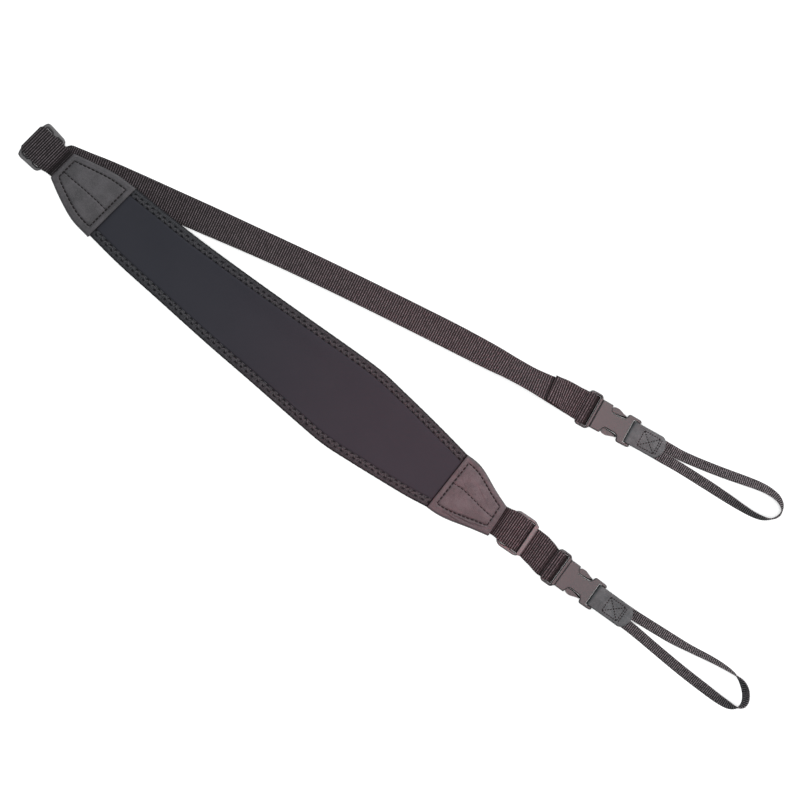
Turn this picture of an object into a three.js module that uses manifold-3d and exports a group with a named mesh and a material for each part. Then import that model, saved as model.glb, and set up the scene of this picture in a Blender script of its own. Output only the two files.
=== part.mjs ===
// Brass instrument shoulder sling, lying flat and folded back on itself at its upper slider.
// Millimetres. +X runs from the fold to the loops, +Y across the sling, +Z up from the table.

import * as THREE from 'three';
import { mergeVertices } from 'three/addons/utils/BufferGeometryUtils.js';
import Module from 'manifold-3d';

const wasm = await Module();
wasm.setup();

// ---------------------------------------------------------------- driving dimensions

const GAP = 0.3;                       // clearance that neighbouring pieces keep
const WEB = 1.5;                       // thickness of the 1 inch webbing
const LEATHER = 1.4;                   // thickness of the leather
const LOOP_WEB = { width: 8.6, thickness: 1.3 };
const BINDING = { width: 7.4, wall: 1, height: 5.2 };
const STRAP_WIDTH = 25.8;              // 1 inch webbing lying flat

const SLIDER = {
  length: 23.6, width: 32.8, corner: 6, low: 2, thickness: 2.5, chamfer: 0.9,
  bar: 3.5, middleBar: 4, slotWidth: 27.6, middleTop: 3.3,
};
const LADDER = {
  length: 12.3, width: 30.4, corner: 3.2, innerWidth: 26.6, bar: [0.4, 5], shoulder: 10.2,
  barLow: 2, barThickness: 2.5, railLow: 0.4, railThickness: 5.2, chamfer: 0.9,
};
const ARM = { root: 7.6, side: 10.7, bulge: 12.1, tip: 34.6, low: 2, thickness: 3 };
const BODY = {
  mouth: 12.6, end: 48.2, half: 12.3, height: 7, chamfer: 0.8, wall: 1.7,
  cavityHalf: 11.1, cavityEnd: 37, window: [21.6, 24.4, 32.6, 36.4], windowHalf: 6.8,
  slot: [41.6, 44], bar: [44, 47.8], barThickness: 2.6, slotHalf: 10.1,
};
const TAB = { width: 19, endDepth: 6.8, thickness: LEATHER };

// Where each rigid group lies: its own origin in plan and the direction that it points in.
const FOLD_SLIDER = { x: -348.8, y: 6.1, heading: -13 };
const SHORT_SLIDER = { x: 135.8, y: -53.9, heading: -2.5 };
const UPPER_BUCKLE = { x: 125.8, y: 60.2, heading: 3, tabEnd: 74.6 };
const LOWER_BUCKLE = { x: 170.6, y: -60.3, heading: -3.8, tabEnd: 79.1 };

// ---------------------------------------------------------------- finishes

const finish = (color, roughness, metalness = 0) => new THREE.MeshStandardMaterial({ color, roughness, metalness });
const neoprene = () => finish(0x2b2a30, 0.9);
const stretchTape = () => finish(0x252429, 0.95);
const leather = () => finish(0x423d3e, 0.6);
const webbing = () => finish(0x332f30, 0.85);
const moulding = () => finish(0x4a4647, 0.45);

// ---------------------------------------------------------------- solids

const radians = THREE.MathUtils.degToRad;
const direction = (heading) => new THREE.Vector3(Math.cos(radians(heading)), Math.sin(radians(heading)), 0);
const across = (heading) => direction(heading + 90);

// Only the corners are kept, shared between faces, so that the surface is one closed skin.
function closedSkin(geometry) {
  const skin = geometry.clone();
  skin.deleteAttribute('normal');
  skin.deleteAttribute('uv');
  return mergeVertices(skin, 1e-4);
}

function toSolid(geometry) {
  const skin = closedSkin(geometry);
  const mesh = new wasm.Mesh({
    numProp: 3,
    vertProperties: new Float32Array(skin.attributes.position.array),
    triVerts: new Uint32Array(skin.index.array),
  });
  return new wasm.Manifold(mesh);
}

function toGeometry(solid) {
  const mesh = solid.getMesh();
  const geometry = new THREE.BufferGeometry();
  geometry.setAttribute('position', new THREE.BufferAttribute(new Float32Array(mesh.vertProperties), 3));
  geometry.setIndex(new THREE.BufferAttribute(new Uint32Array(mesh.triVerts), 1));
  return geometry;
}

function piece(name, geometry, material) {
  const skin = closedSkin(geometry);
  skin.computeVertexNormals();
  const mesh = new THREE.Mesh(skin, material);
  mesh.name = name;
  return mesh;
}

// Mapping can turn a surface inside out; the signed volume tells, and the triangles are reversed.
function facingOut(geometry) {
  const skin = closedSkin(geometry);
  const order = skin.index.array;
  const [a, b, c] = [new THREE.Vector3(), new THREE.Vector3(), new THREE.Vector3()];
  let volume = 0;
  for (let i = 0; i < order.length; i += 3) {
    [a, b, c].forEach((corner, k) => corner.fromBufferAttribute(skin.attributes.position, order[i + k]));
    volume += a.dot(b.cross(c));
  }
  if (volume < 0) {
    for (let i = 0; i < order.length; i += 3) {
      [order[i + 1], order[i + 2]] = [order[i + 2], order[i + 1]];
    }
  }
  return skin;
}

// A place measured along and across a rigid group, carried into plan.
function place(group, along, z, sideways = 0) {
  const forward = direction(group.heading);
  const side = across(group.heading);
  return {
    x: group.x + forward.x * along + side.x * sideways,
    y: group.y + forward.y * along + side.y * sideways,
    z,
    heading: group.heading,
  };
}

// Smooth values between the rows of a table, a column at a time; u runs from 0 to 1 over the rows.
function columnCurve(rows, columns) {
  const points = rows.map((row) => new THREE.Vector3(...columns.map((column) => row[column] ?? 0)));
  return new THREE.CatmullRomCurve3(points, false, 'catmullrom', 0.5);
}

// The section of a band at u: its middle, the way across it and the way out of its face. A band
// that drifts sideways is sheared, not turned, so an unrolled one stays level across.
function bandSection(route, form, u) {
  const middle = route.getPoint(u);
  const along = route.getTangent(u);
  const [heading, roll, width] = form.getPoint(u).toArray();
  const side = across(heading);
  along.addScaledVector(side, -along.dot(side)).normalize();
  side.applyAxisAngle(along, radians(roll));
  return { middle, side, face: new THREE.Vector3().crossVectors(along, side), width };
}

// A flat band laid along a route. Every row is one section: x, y, z is its middle, heading the
// way that it runs in plan, roll its turn about its own length, and width its own width.
function bandGeometry(rows, thickness, sectionsPerRow = 4) {
  const route = new THREE.CatmullRomCurve3(
    rows.map((row) => new THREE.Vector3(row.x, row.y, row.z)), false, 'centripetal',
  );
  const form = columnCurve(rows, ['heading', 'roll', 'width']);
  const band = new THREE.BoxGeometry(1, 1, 1, (rows.length - 1) * sectionsPerRow, 1, 1);
  const corners = band.attributes.position;
  const corner = new THREE.Vector3();
  for (let i = 0; i < corners.count; i += 1) {
    corner.fromBufferAttribute(corners, i);
    const section = bandSection(route, form, corner.x + 0.5);
    const spot = section.middle.clone()
      .addScaledVector(section.side, corner.y * section.width)
      .addScaledVector(section.face, corner.z * thickness);
    corners.setXYZ(i, spot.x, spot.y, spot.z);
  }
  return band;
}

// Rows at even steps along the smooth curve through a table's rows.
function smoothed(rows, columns, count) {
  const curves = [];
  for (let i = 0; i < columns.length; i += 3) {
    curves.push(columnCurve(rows, columns.slice(i, i + 3)));
  }
  return Array.from({ length: count }, (_, i) => {
    const values = curves.flatMap((curve) => curve.getPoint(i / (count - 1)).toArray());
    return Object.fromEntries(columns.map((column, k) => [column, values[k]]));
  });
}

// A broad sheet. Every row is one section across it, from low to high, and every edge step gives
// how far in from a long edge it lies and what share of the thickness it has; the last is its middle.
function sheetGeometry(rows, edgeSteps) {
  const strips = 2 * (edgeSteps.length - 1);
  const sheet = new THREE.BoxGeometry(1, 1, 1, rows.length - 1, strips, 1);
  const corners = sheet.attributes.position;
  const corner = new THREE.Vector3();
  for (let i = 0; i < corners.count; i += 1) {
    corner.fromBufferAttribute(corners, i);
    const { x, y, heading, width, low, high } = rows[Math.round((corner.x + 0.5) * (rows.length - 1))];
    const strip = Math.round((corner.y + 0.5) * strips);
    const step = edgeSteps[Math.min(strip, strips - strip)];
    const reach = Math.sign(strip - strips / 2) * Math.max(0, width / 2 - step.inset);
    const side = across(heading);
    const middle = (low + high) / 2;
    corners.setXYZ(i, x + side.x * reach, y + side.y * reach, middle + corner.z * (high - low) * step.share);
  }
  return facingOut(sheet);
}

// A flat plate from an outline drawn in plan, with chamfered edges, standing on the height low.
function plateGeometry(shape, low, thickness, chamfer = 0) {
  const plate = new THREE.ExtrudeGeometry(shape, {
    depth: thickness - 2 * chamfer,
    curveSegments: 5,
    bevelEnabled: chamfer > 0,
    bevelThickness: chamfer,
    bevelSize: chamfer,
    bevelOffset: -chamfer,
    bevelSegments: 1,
  });
  return plate.translate(0, 0, low + chamfer);
}

function roundedRectangle(x0, x1, half, radius, Outline = THREE.Shape) {
  const outline = new Outline();
  outline.moveTo(x0 + radius, -half);
  outline.lineTo(x1 - radius, -half);
  outline.absarc(x1 - radius, -half + radius, radius, -Math.PI / 2, 0, false);
  outline.lineTo(x1, half - radius);
  outline.absarc(x1 - radius, half - radius, radius, 0, Math.PI / 2, false);
  outline.lineTo(x0 + radius, half);
  outline.absarc(x0 + radius, half - radius, radius, Math.PI / 2, Math.PI, false);
  outline.lineTo(x0, -half + radius);
  outline.absarc(x0 + radius, -half + radius, radius, Math.PI, 1.5 * Math.PI, false);
  return outline;
}

function boxSolid(x0, x1, half, z0, z1) {
  const box = new THREE.BoxGeometry(x1 - x0, 2 * half, z1 - z0);
  return toSolid(box.translate((x0 + x1) / 2, 0, (z0 + z1) / 2));
}

// ---------------------------------------------------------------- shoulder pad

// Sections across the pad from the leather at the fold to the leather at the short strap:
// middle in plan, the way that the pad runs there, and its full width with the binding on.
const PAD_SECTIONS = [
  { x: -275, y: -7.3, heading: -12.5, width: 52.6 },
  { x: -243.5, y: -12.9, heading: -8.5, width: 55.8 },
  { x: -204.5, y: -18.5, heading: -7, width: 58.4 },
  { x: -154.3, y: -24.8, heading: -7, width: 63.6 },
  { x: -104, y: -30.3, heading: -7, width: 68.4 },
  { x: -53.1, y: -35.9, heading: -7, width: 73.8 },
  { x: -28.2, y: -38.7, heading: -7, width: 75 },
  { x: -2.7, y: -41.4, heading: -7, width: 70.4 },
  { x: 22.8, y: -44, heading: -7, width: 64.8 },
  { x: 47.6, y: -46.6, heading: -6.5, width: 58.6 },
  { x: 66.4, y: -48.2, heading: -6.3, width: 52.6 },
];
// The pad lies on the returning strap at the fold and on the table everywhere else.
const PAD = { high: 5.6, overStrap: WEB + GAP + 0.1, stations: 31, mouthGap: 0.7, tongueSide: 3.4 };
const padLift = (x) => PAD.overStrap * THREE.MathUtils.smoothstep(-x, 160, 215);
const BINDING_GAP = BINDING.wall + GAP;

// Leather ends. along runs from the pad's mouth to the strap's; offset and width follow its edges.
const FOLD_LEATHER = {
  mouth: { x: -275, y: -7.3, heading: 167 },
  low: PAD.overStrap,
  tongueShift: 1,
  slotShift: 1.9,
  sections: [
    { along: 0, offset: 0.5, turn: 0, width: 53.6, thickness: 6.2 },
    { along: 18, offset: 1.9, turn: 0, width: 50.7, thickness: 6 },
    { along: 36, offset: 2.5, turn: 0, width: 40.4, thickness: 5.3 },
    { along: 53.6, offset: 1.9, turn: 0, width: 26.4, thickness: 4.9 },
  ],
};
const SHORT_LEATHER = {
  mouth: { x: 66.4, y: -48.2, heading: -6.3 },
  low: 0,
  tongueShift: 0.5,
  slotShift: 0,
  sections: [
    { along: 0, offset: 0, turn: 0, width: 53.2, thickness: 6.2 },
    { along: 9, offset: 0.5, turn: 0, width: 52.4, thickness: 6.2 },
    { along: 19, offset: 0.8, turn: 1, width: 48, thickness: 6 },
    { along: 37, offset: 0.1, turn: 3, width: 35.2, thickness: 5.3 },
    { along: 51.4, offset: 0, turn: 5, width: 26.4, thickness: 4.9 },
  ],
};

// The thin end of the pad inside a leather end; grow widens and thickens it by that much all round.
const TONGUE = [
  { along: -0.4, width: 45.6, thickness: 2.8 },
  { along: 17, width: 42.2, thickness: 2.6 },
  { along: 24, width: 37.2, thickness: 2.4 },
];

function padTongue(end, grow = 0) {
  const bottom = end.low + LEATHER + GAP;
  return TONGUE.map(({ along, width, thickness }) => ({
    ...place(end.mouth, along + Math.sign(along) * grow, 0, end.tongueShift),
    width: width + 2 * grow,
    low: bottom - grow,
    high: bottom + thickness + grow,
  }));
}

// The pad's whole sections, its first and last standing a little clear of the leather's mouths.
function padSections() {
  const sections = smoothed(PAD_SECTIONS, ['x', 'y', 'heading', 'width'], PAD.stations);
  const nudge = (section, reach) => {
    const way = direction(section.heading);
    return { ...section, x: section.x + way.x * reach, y: section.y + way.y * reach };
  };
  return [nudge(sections[0], PAD.mouthGap), ...sections.slice(1, -1), nudge(sections.at(-1), -PAD.mouthGap)];
}

const PAD_EDGE = [
  { inset: 0, share: 0.46 },
  { inset: 6.6, share: 0.46 },
  { inset: 8.6, share: 0.88 },
  { inset: 15, share: 1 },
  { inset: Infinity, share: 1 },
];

function shoulderPad() {
  const whole = padSections().map((section) => {
    const low = padLift(section.x);
    return { ...section, width: section.width - 2 * BINDING_GAP, low, high: low + PAD.high };
  });
  const foldTongue = padTongue(FOLD_LEATHER).reverse().map((row) => ({ ...row, heading: row.heading - 180 }));
  const rows = [...foldTongue, ...whole, ...padTongue(SHORT_LEATHER)];
  return piece('shoulder_pad', sheetGeometry(rows, PAD_EDGE), neoprene());
}

// Stretch binding: a U in section, folded over one long edge of the pad; side is +1 or -1.
function edgeBinding(name, side) {
  const { width, wall, height } = BINDING;
  const corner = 0.9;
  const section = new THREE.Shape();
  section.moveTo(width, 0);
  section.lineTo(corner, 0);
  section.lineTo(0, corner);
  section.lineTo(0, height - corner);
  section.lineTo(corner, height);
  section.lineTo(width, height);
  section.lineTo(width, height - wall);
  section.lineTo(wall, height - wall);
  section.lineTo(wall, wall);
  section.lineTo(width, wall);
  section.closePath();
  const sections = padSections();
  const steps = sections.length - 1;
  const tape = new THREE.ExtrudeGeometry(section, { depth: steps, steps, bevelEnabled: false });
  const corners = tape.attributes.position;
  for (let i = 0; i < corners.count; i += 1) {
    const { x, y, heading, width: padWidth } = sections[Math.round(corners.getZ(i))];
    const reach = side * (padWidth / 2 - corners.getX(i));
    const way = across(heading);
    const padMiddle = padLift(x) + PAD.high / 2;
    corners.setXYZ(i, x + way.x * reach, y + way.y * reach, padMiddle + corners.getY(i) - height / 2);
  }
  return piece(name, facingOut(tape), stretchTape());
}

// ---------------------------------------------------------------- leather ends

const LEATHER_EDGE = [
  { inset: 0, share: 0.42 },
  { inset: 0.8, share: 0.78 },
  { inset: 3.2, share: 0.88 },
  { inset: 7.5, share: 1 },
  { inset: Infinity, share: 1 },
];
const EVEN = [{ inset: 0, share: 1 }, { inset: Infinity, share: 1 }];

// A sewn sleeve: its outside, less the pad's tongue and the strap's end with a gap all round.
function leatherEnd(name, end) {
  const sections = smoothed(end.sections, ['along', 'offset', 'turn', 'width', 'thickness'], 16);
  const rows = sections.map(({ along, offset, turn, width, thickness }) => {
    const spot = place(end.mouth, along, 0, offset);
    return { ...spot, heading: spot.heading + turn, width, low: end.low, high: end.low + thickness };
  });
  const outside = toSolid(sheetGeometry(rows, LEATHER_EDGE));
  const tongue = padTongue(end, GAP);
  const mouthward = { ...tongue[0], ...place(end.mouth, -3, 0, end.tongueShift) };
  const tongueSpace = toSolid(sheetGeometry([mouthward, ...tongue], EVEN));
  const slot = new THREE.BoxGeometry(60, 28.4, WEB + 2 * GAP);
  slot.translate(27.5 + 30, end.slotShift, end.low + LEATHER + GAP + WEB / 2);
  slot.rotateZ(radians(end.mouth.heading));
  slot.translate(end.mouth.x, end.mouth.y, 0);
  return piece(name, toGeometry(outside.subtract(tongueSpace).subtract(toSolid(slot))), leather());
}

// ---------------------------------------------------------------- sliders

// A three-bar slider moulded in one piece, lying at the origin with its bars across.
function slider(name) {
  const { length, width, corner, low, thickness, chamfer, bar, middleBar, slotWidth, middleTop } = SLIDER;
  const outline = roundedRectangle(-length / 2, length / 2, width / 2, corner);
  const slotEnds = [[-length / 2 + bar, -middleBar / 2], [middleBar / 2, length / 2 - bar]];
  for (const [x0, x1] of slotEnds) {
    outline.holes.push(roundedRectangle(x0, x1, slotWidth / 2, 1.2, THREE.Path));
  }
  const frame = toSolid(plateGeometry(outline, low, thickness, chamfer));
  const relief = boxSolid(-middleBar / 2 - 1, middleBar / 2 + 1, slotWidth / 2 - 0.1, middleTop, low + thickness + 1);
  return piece(name, toGeometry(frame.subtract(relief)), moulding());
}

// ---------------------------------------------------------------- side-release buckles

// The sprung arm of the male half, one side of it in plan.
function armOutline() {
  const { root, side, bulge, tip } = ARM;
  const arm = new THREE.Shape();
  arm.moveTo(LADDER.shoulder + 1, root);
  arm.lineTo(27, root - 0.1);
  arm.quadraticCurveTo(32, root + 0.2, tip, root + 1.6);
  arm.quadraticCurveTo(tip + 0.3, root + 3.2, tip - 1.6, bulge - 0.9);
  arm.quadraticCurveTo(29, bulge + 0.3, 24.6, bulge - 0.3);
  arm.quadraticCurveTo(23.4, bulge - 0.6, 22.4, side - 0.1);
  arm.lineTo(LADDER.shoulder + 1, side - 0.4);
  arm.closePath();
  return arm;
}

// Male half: the frame with the strap's bar, the shoulder, and two sprung arms.
function maleHalf(name) {
  const { length, width, corner, innerWidth, bar, shoulder } = LADDER;
  const outline = roundedRectangle(0, length, width / 2, corner);
  outline.holes.push(roundedRectangle(bar[1], shoulder, innerWidth / 2, 0.8, THREE.Path));
  const frame = toSolid(plateGeometry(outline, LADDER.railLow, LADDER.railThickness, LADDER.chamfer));
  const barTop = LADDER.barLow + LADDER.barThickness;
  const overBar = boxSolid(-1, bar[1] + 1, innerWidth / 2, barTop, 9);
  const underBar = boxSolid(-1, bar[1] + 1, innerWidth / 2, -1, LADDER.barLow);
  const shaved = boxSolid(-1, bar[0], innerWidth / 2, -1, 9);
  const barEdge = new THREE.BoxGeometry(1.27, innerWidth, 1.27).rotateY(Math.PI / 4);
  let half = frame.subtract(overBar).subtract(underBar).subtract(shaved);
  for (const x of bar) {
    for (const z of [LADDER.barLow, barTop]) {
      half = half.subtract(toSolid(barEdge.clone().translate(x, 0, z)));
    }
  }
  for (const side of [1, -1]) {
    const arm = plateGeometry(armOutline(), ARM.low, ARM.thickness, 0);
    half = half.add(toSolid(side > 0 ? arm : facingOut(arm.scale(1, -1, 1))));
  }
  return piece(name, toGeometry(half), moulding());
}

// One side of the female half's outline in plan, from its mouth to its end.
function bodyOutline() {
  const { mouth, end, half, window, windowHalf } = BODY;
  const cornerRadius = 2.4;
  const body = new THREE.Shape();
  const side = (sign) => {
    body.lineTo(mouth, sign * half);
    body.lineTo(window[0], sign * half);
    body.quadraticCurveTo(window[0] + 1.4, sign * windowHalf, window[1], sign * windowHalf);
    body.lineTo(window[2], sign * windowHalf);
    body.quadraticCurveTo(window[3] - 0.9, sign * windowHalf, window[3], sign * (half - 1.4));
    body.quadraticCurveTo(window[3] + 0.3, sign * half, window[3] + 1.6, sign * half);
    body.lineTo(end - cornerRadius, sign * (half - 0.2));
    body.quadraticCurveTo(end, sign * (half - 0.2), end, sign * (half - 0.2 - cornerRadius));
  };
  body.moveTo(mouth, 0);
  side(-1);
  const upper = body.getPoints(5).slice(1).map((point) => new THREE.Vector2(point.x, -point.y)).reverse();
  return new THREE.Shape([...body.getPoints(5).slice(1), ...upper]);
}

// Female half: a flat hollow body with a window in each side, and the bar that holds the tab.
function femaleHalf(name) {
  const { mouth, end, height, chamfer, wall, cavityHalf, cavityEnd, slot, bar, barThickness, slotHalf } = BODY;
  const outside = toSolid(plateGeometry(bodyOutline(), 0, height, chamfer));
  const cavity = boxSolid(mouth - 1, cavityEnd, cavityHalf, wall, height - wall);
  const throughSlot = boxSolid(slot[0], slot[1], slotHalf, -1, height + 1);
  const barLow = (height - barThickness) / 2;
  const overBar = boxSolid(slot[1] - 0.1, end + 1, slotHalf, barLow + barThickness, height + 1);
  const underBar = boxSolid(slot[1] - 0.1, end + 1, slotHalf, -1, barLow);
  const behindBar = boxSolid(bar[1], end + 1, slotHalf, -1, height + 1);
  let half = outside.subtract(cavity).subtract(throughSlot).subtract(overBar).subtract(underBar).subtract(behindBar);
  const barEdge = new THREE.BoxGeometry(1, 2 * slotHalf, 1).rotateY(Math.PI / 4);
  for (const x of bar) {
    for (const z of [barLow, barLow + barThickness]) {
      half = half.subtract(toSolid(barEdge.clone().translate(x, 0, z)));
    }
  }
  return piece(name, toGeometry(half), moulding());
}

// ---------------------------------------------------------------- leather tabs

const TAB_STACK = { low: TAB.thickness / 2, high: 1.5 * TAB.thickness + 2 * GAP + LOOP_WEB.thickness };

// Width of a tab at a place along it: full, then falling away round its end.
function tabWidth(along, tabEnd) {
  const depth = Math.min(1, Math.max(0, (tabEnd - along) / TAB.endDepth));
  return TAB.width * Math.sqrt(1 - (1 - depth) ** 2 * 0.985);
}

// A strip folded round the bar, its two layers meeting the loop's ends between them.
function tab(name, buckle) {
  const { height, bar } = BODY;
  const turn = 2.45;
  const wrapX = bar[0] + 1.3;
  const middle = height / 2;
  const { tabEnd } = buckle;
  const endSteps = [0, 0.7, 2.2, 4.4, 6.8];
  const layer = (z, nearBar) => [
    ...endSteps.map((back) => ({ along: tabEnd - back, z })),
    { along: (tabEnd + 56) / 2, z },
    { along: 57.6, z },
    ...nearBar,
  ];
  const wrap = [90, 112, 135, 157, 180, 203, 225, 248, 270].map((angle) => ({
    along: wrapX + turn * Math.cos(radians(angle)),
    z: middle + turn * Math.sin(radians(angle)),
  }));
  const upper = layer(TAB_STACK.high, [{ along: 53.8, z: 4.5 }, { along: 49.6, z: 5.6 }]);
  const lower = layer(TAB_STACK.low, [{ along: 53.8, z: 0.75 }, { along: 49.6, z: 0.95 }]).reverse();
  const rows = [...upper, ...wrap, ...lower].map((row) => ({
    ...place(buckle, row.along, row.z),
    roll: 0,
    width: tabWidth(row.along, tabEnd),
  }));
  return piece(name, facingOut(bandGeometry(rows, TAB.thickness, 2)), leather());
}

// ---------------------------------------------------------------- straps

// The turn of a strap round a bar's end face: half a circle from below to above or the reverse.
function barTurn(centreAlong, side, fromTop) {
  const radius = 2.45;
  const middle = SLIDER.low + SLIDER.thickness / 2;
  const angles = [90, 67, 45, 22, 0, -22, -45, -67, -90];
  const rows = angles.map((angle) => ({
    along: centreAlong + side * radius * Math.cos(radians(angle)),
    z: middle + radius * Math.sin(radians(angle)),
  }));
  return fromTop ? rows : rows.reverse();
}

// Height of a band's middle when it rests on the table, rolled onto one edge.
function restHeight(width, thickness, roll) {
  const turned = radians(roll);
  return (width / 2) * Math.abs(Math.sin(turned)) + (thickness / 2) * Math.abs(Math.cos(turned));
}

// The same section moved out along its face and sideways along its width, for a band running back.
function stacked(row, lift, sideways) {
  const turned = radians(row.roll);
  const side = across(row.heading);
  return {
    ...row,
    x: row.x + side.x * (sideways * Math.cos(turned) - lift * Math.sin(turned)),
    y: row.y + side.y * (sideways * Math.cos(turned) - lift * Math.sin(turned)),
    z: row.z + lift * Math.cos(turned) + sideways * Math.sin(turned),
    roll: -row.roll,
  };
}

// Long strap past the fold: it lies on its outer edge, rolled so that its inner edge is raised.
const LONG_RUN = [
  { x: -330, y: 6.2, heading: -3, roll: 0, width: 25.6 },
  { x: -321.5, y: 8.6, heading: 8, roll: 0, width: 25.4 },
  { x: -311, y: 11.2, heading: 12, roll: 0, width: 25.2 },
  { x: -296, y: 14.4, heading: 11, roll: 0, width: 25 },
  { x: -277, y: 17.3, heading: 8, roll: 0, width: 24.8 },
  { x: -253, y: 20.6, heading: 7.5, roll: 0, width: 24.6 },
  { x: -232, y: 23.5, heading: 7.6, roll: 0, width: 24.4 },
  { x: -214, y: 26.1, heading: 7.6, roll: -4, width: 24.2 },
  { x: -196, y: 28.6, heading: 7.6, roll: -12, width: 24.2 },
  { x: -170, y: 32.2, heading: 7.6, roll: -19, width: 24.2 },
  { x: -135.2, y: 36.8, heading: 7, roll: -23, width: 24.2 },
  { x: -82, y: 42.8, heading: 6, roll: -24, width: 24.2 },
  { x: -29, y: 48.1, heading: 5.3, roll: -24, width: 24.2 },
  { x: 10, y: 51.7, heading: 4.6, roll: -24, width: 24.2 },
  { x: 42.6, y: 54.2, heading: 4, roll: -30, width: 24.2 },
  { x: 62, y: 55.5, heading: 4, roll: -38, width: 24 },
  { x: 80, y: 56.5, heading: 4.2, roll: -39, width: 24 },
  { x: 96, y: 57.7, heading: 4.8, roll: -30, width: 24.2 },
  { x: 110, y: 59, heading: 4.8, roll: -16, width: 24.4 },
];

function longStrap() {
  const laced = (row) => ({ ...place(FOLD_SLIDER, row.along, row.z, row.sideways), roll: 0, width: STRAP_WIDTH });
  const inLeather = FOLD_LEATHER.low + LEATHER + GAP + WEB / 2;
  const fold = [
    { along: 44, z: inLeather, sideways: 1.7 },
    { along: 34, z: inLeather, sideways: 1.7 },
    { along: 22.5, z: inLeather, sideways: 1.6 },
    { along: 18.5, z: 4.7, sideways: 1.3 },
    { along: 13, z: 5.75, sideways: 0.8 },
    { along: 6, z: 6.25, sideways: 0.3 },
    { along: 0, z: 6.4, sideways: 0 },
    { along: -5.5, z: 6, sideways: 0 },
    ...barTurn(-SLIDER.length / 2 + 1.35, -1, true),
    { along: -8.3, z: 0.85, sideways: 0 },
    { along: -6.6, z: 1.5, sideways: 0 },
    { along: -4.5, z: 3, sideways: 0 },
    { along: -2.6, z: 4.2, sideways: 0.1 },
    { along: 0, z: 4.5, sideways: 0.15 },
    { along: 2.6, z: 4.2, sideways: 0.2 },
    { along: 4.5, z: 3, sideways: 0.3 },
    { along: 6.6, z: 1.5, sideways: 0.35 },
    { along: 8.3, z: 0.9, sideways: 0.5 },
    { along: 11.4, z: WEB / 2, sideways: 0.9 },
  ].map(laced);
  const run = LONG_RUN.map((row) => ({ ...row, z: restHeight(row.width, WEB, row.roll) }));
  const buckled = ({ along, z, roll = 0, width = 25.2 }) => ({ ...place(UPPER_BUCKLE, along, z), roll, width });
  const turn = [
    { along: -7, z: 1.7, roll: -4, width: 24.8 },
    { along: -3, z: 0.9 },
    { along: 0.5, z: WEB / 2 },
    ...barTurn(LADDER.bar[1] - 1.35, 1, false),
    { along: 1.2, z: 5.6 },
    { along: -1.8, z: 5.4 },
    { along: -7, z: 4.5, roll: 4, width: 24.8 },
  ].map(buckled);
  const lift = WEB + GAP + 0.2;
  const [beforeEnd, lastRow] = run.slice(-2);
  const cutEnd = stacked({ ...beforeEnd, x: 97.3, y: 57.8, heading: 7, roll: -29 }, lift + 0.3, 0.6);
  const tail = [stacked(lastRow, lift, 0.6), stacked({ ...beforeEnd, x: 102.5, y: 58.3, roll: -24 }, lift, 0.6), cutEnd];
  return piece('long_strap', facingOut(bandGeometry([...fold, ...run, ...turn, ...tail], WEB, 3)), webbing());
}

function shortStrap() {
  const laced = (row) => ({ ...place(SHORT_SLIDER, row.along, row.z, row.sideways), roll: 0, width: STRAP_WIDTH });
  const inLeather = SHORT_LEATHER.low + LEATHER + GAP + WEB / 2;
  const over = [
    { along: -40, z: inLeather, sideways: 0 },
    { along: -22, z: inLeather, sideways: 0 },
    { along: -18.6, z: inLeather, sideways: 0.1 },
    { along: -16.8, z: inLeather + 0.25, sideways: 0.2 },
    { along: -14.4, z: 4.1, sideways: 0.5 },
    { along: -11.9, z: 5.4, sideways: 0.9 },
    { along: -9, z: 5.7, sideways: 1.3 },
    { along: -5, z: 5.7, sideways: 1.4 },
    { along: -1.4, z: 5.75, sideways: 1 },
    { along: 1.2, z: 5.25, sideways: 0.6 },
    { along: 3.4, z: 4.15, sideways: 0.4 },
    { along: 6.3, z: 1.6, sideways: 0.1 },
    { along: 8.3, z: 0.85, sideways: -0.1 },
    { along: 11.6, z: WEB / 2, sideways: -0.6 },
    { along: 15.4, z: 1.2, sideways: -1.1 },
    { along: 19.4, z: 2.2, sideways: -1.5 },
    { along: 22.4, z: 2.65, sideways: -1.6 },
  ].map(laced);
  const buckled = (row) => ({ ...place(LOWER_BUCKLE, row.along, row.z, row.sideways), roll: 0, width: 25.6 });
  const turn = [
    { along: -8, z: 2.9, sideways: 0.4 },
    { along: -4.6, z: 3.9, sideways: 0.2 },
    { along: -1.8, z: 5.2, sideways: 0 },
    { along: 1.2, z: 5.6, sideways: 0 },
    ...barTurn(LADDER.bar[1] - 1.35, 1, true),
    { along: 0, z: WEB / 2, sideways: 0 },
    { along: -6, z: WEB / 2, sideways: 0.3 },
    { along: -12, z: WEB / 2, sideways: 0.6 },
  ].map(buckled);
  return piece('short_strap', facingOut(bandGeometry([...over, ...turn], WEB, 3)), webbing());
}

// ---------------------------------------------------------------- loops

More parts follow.
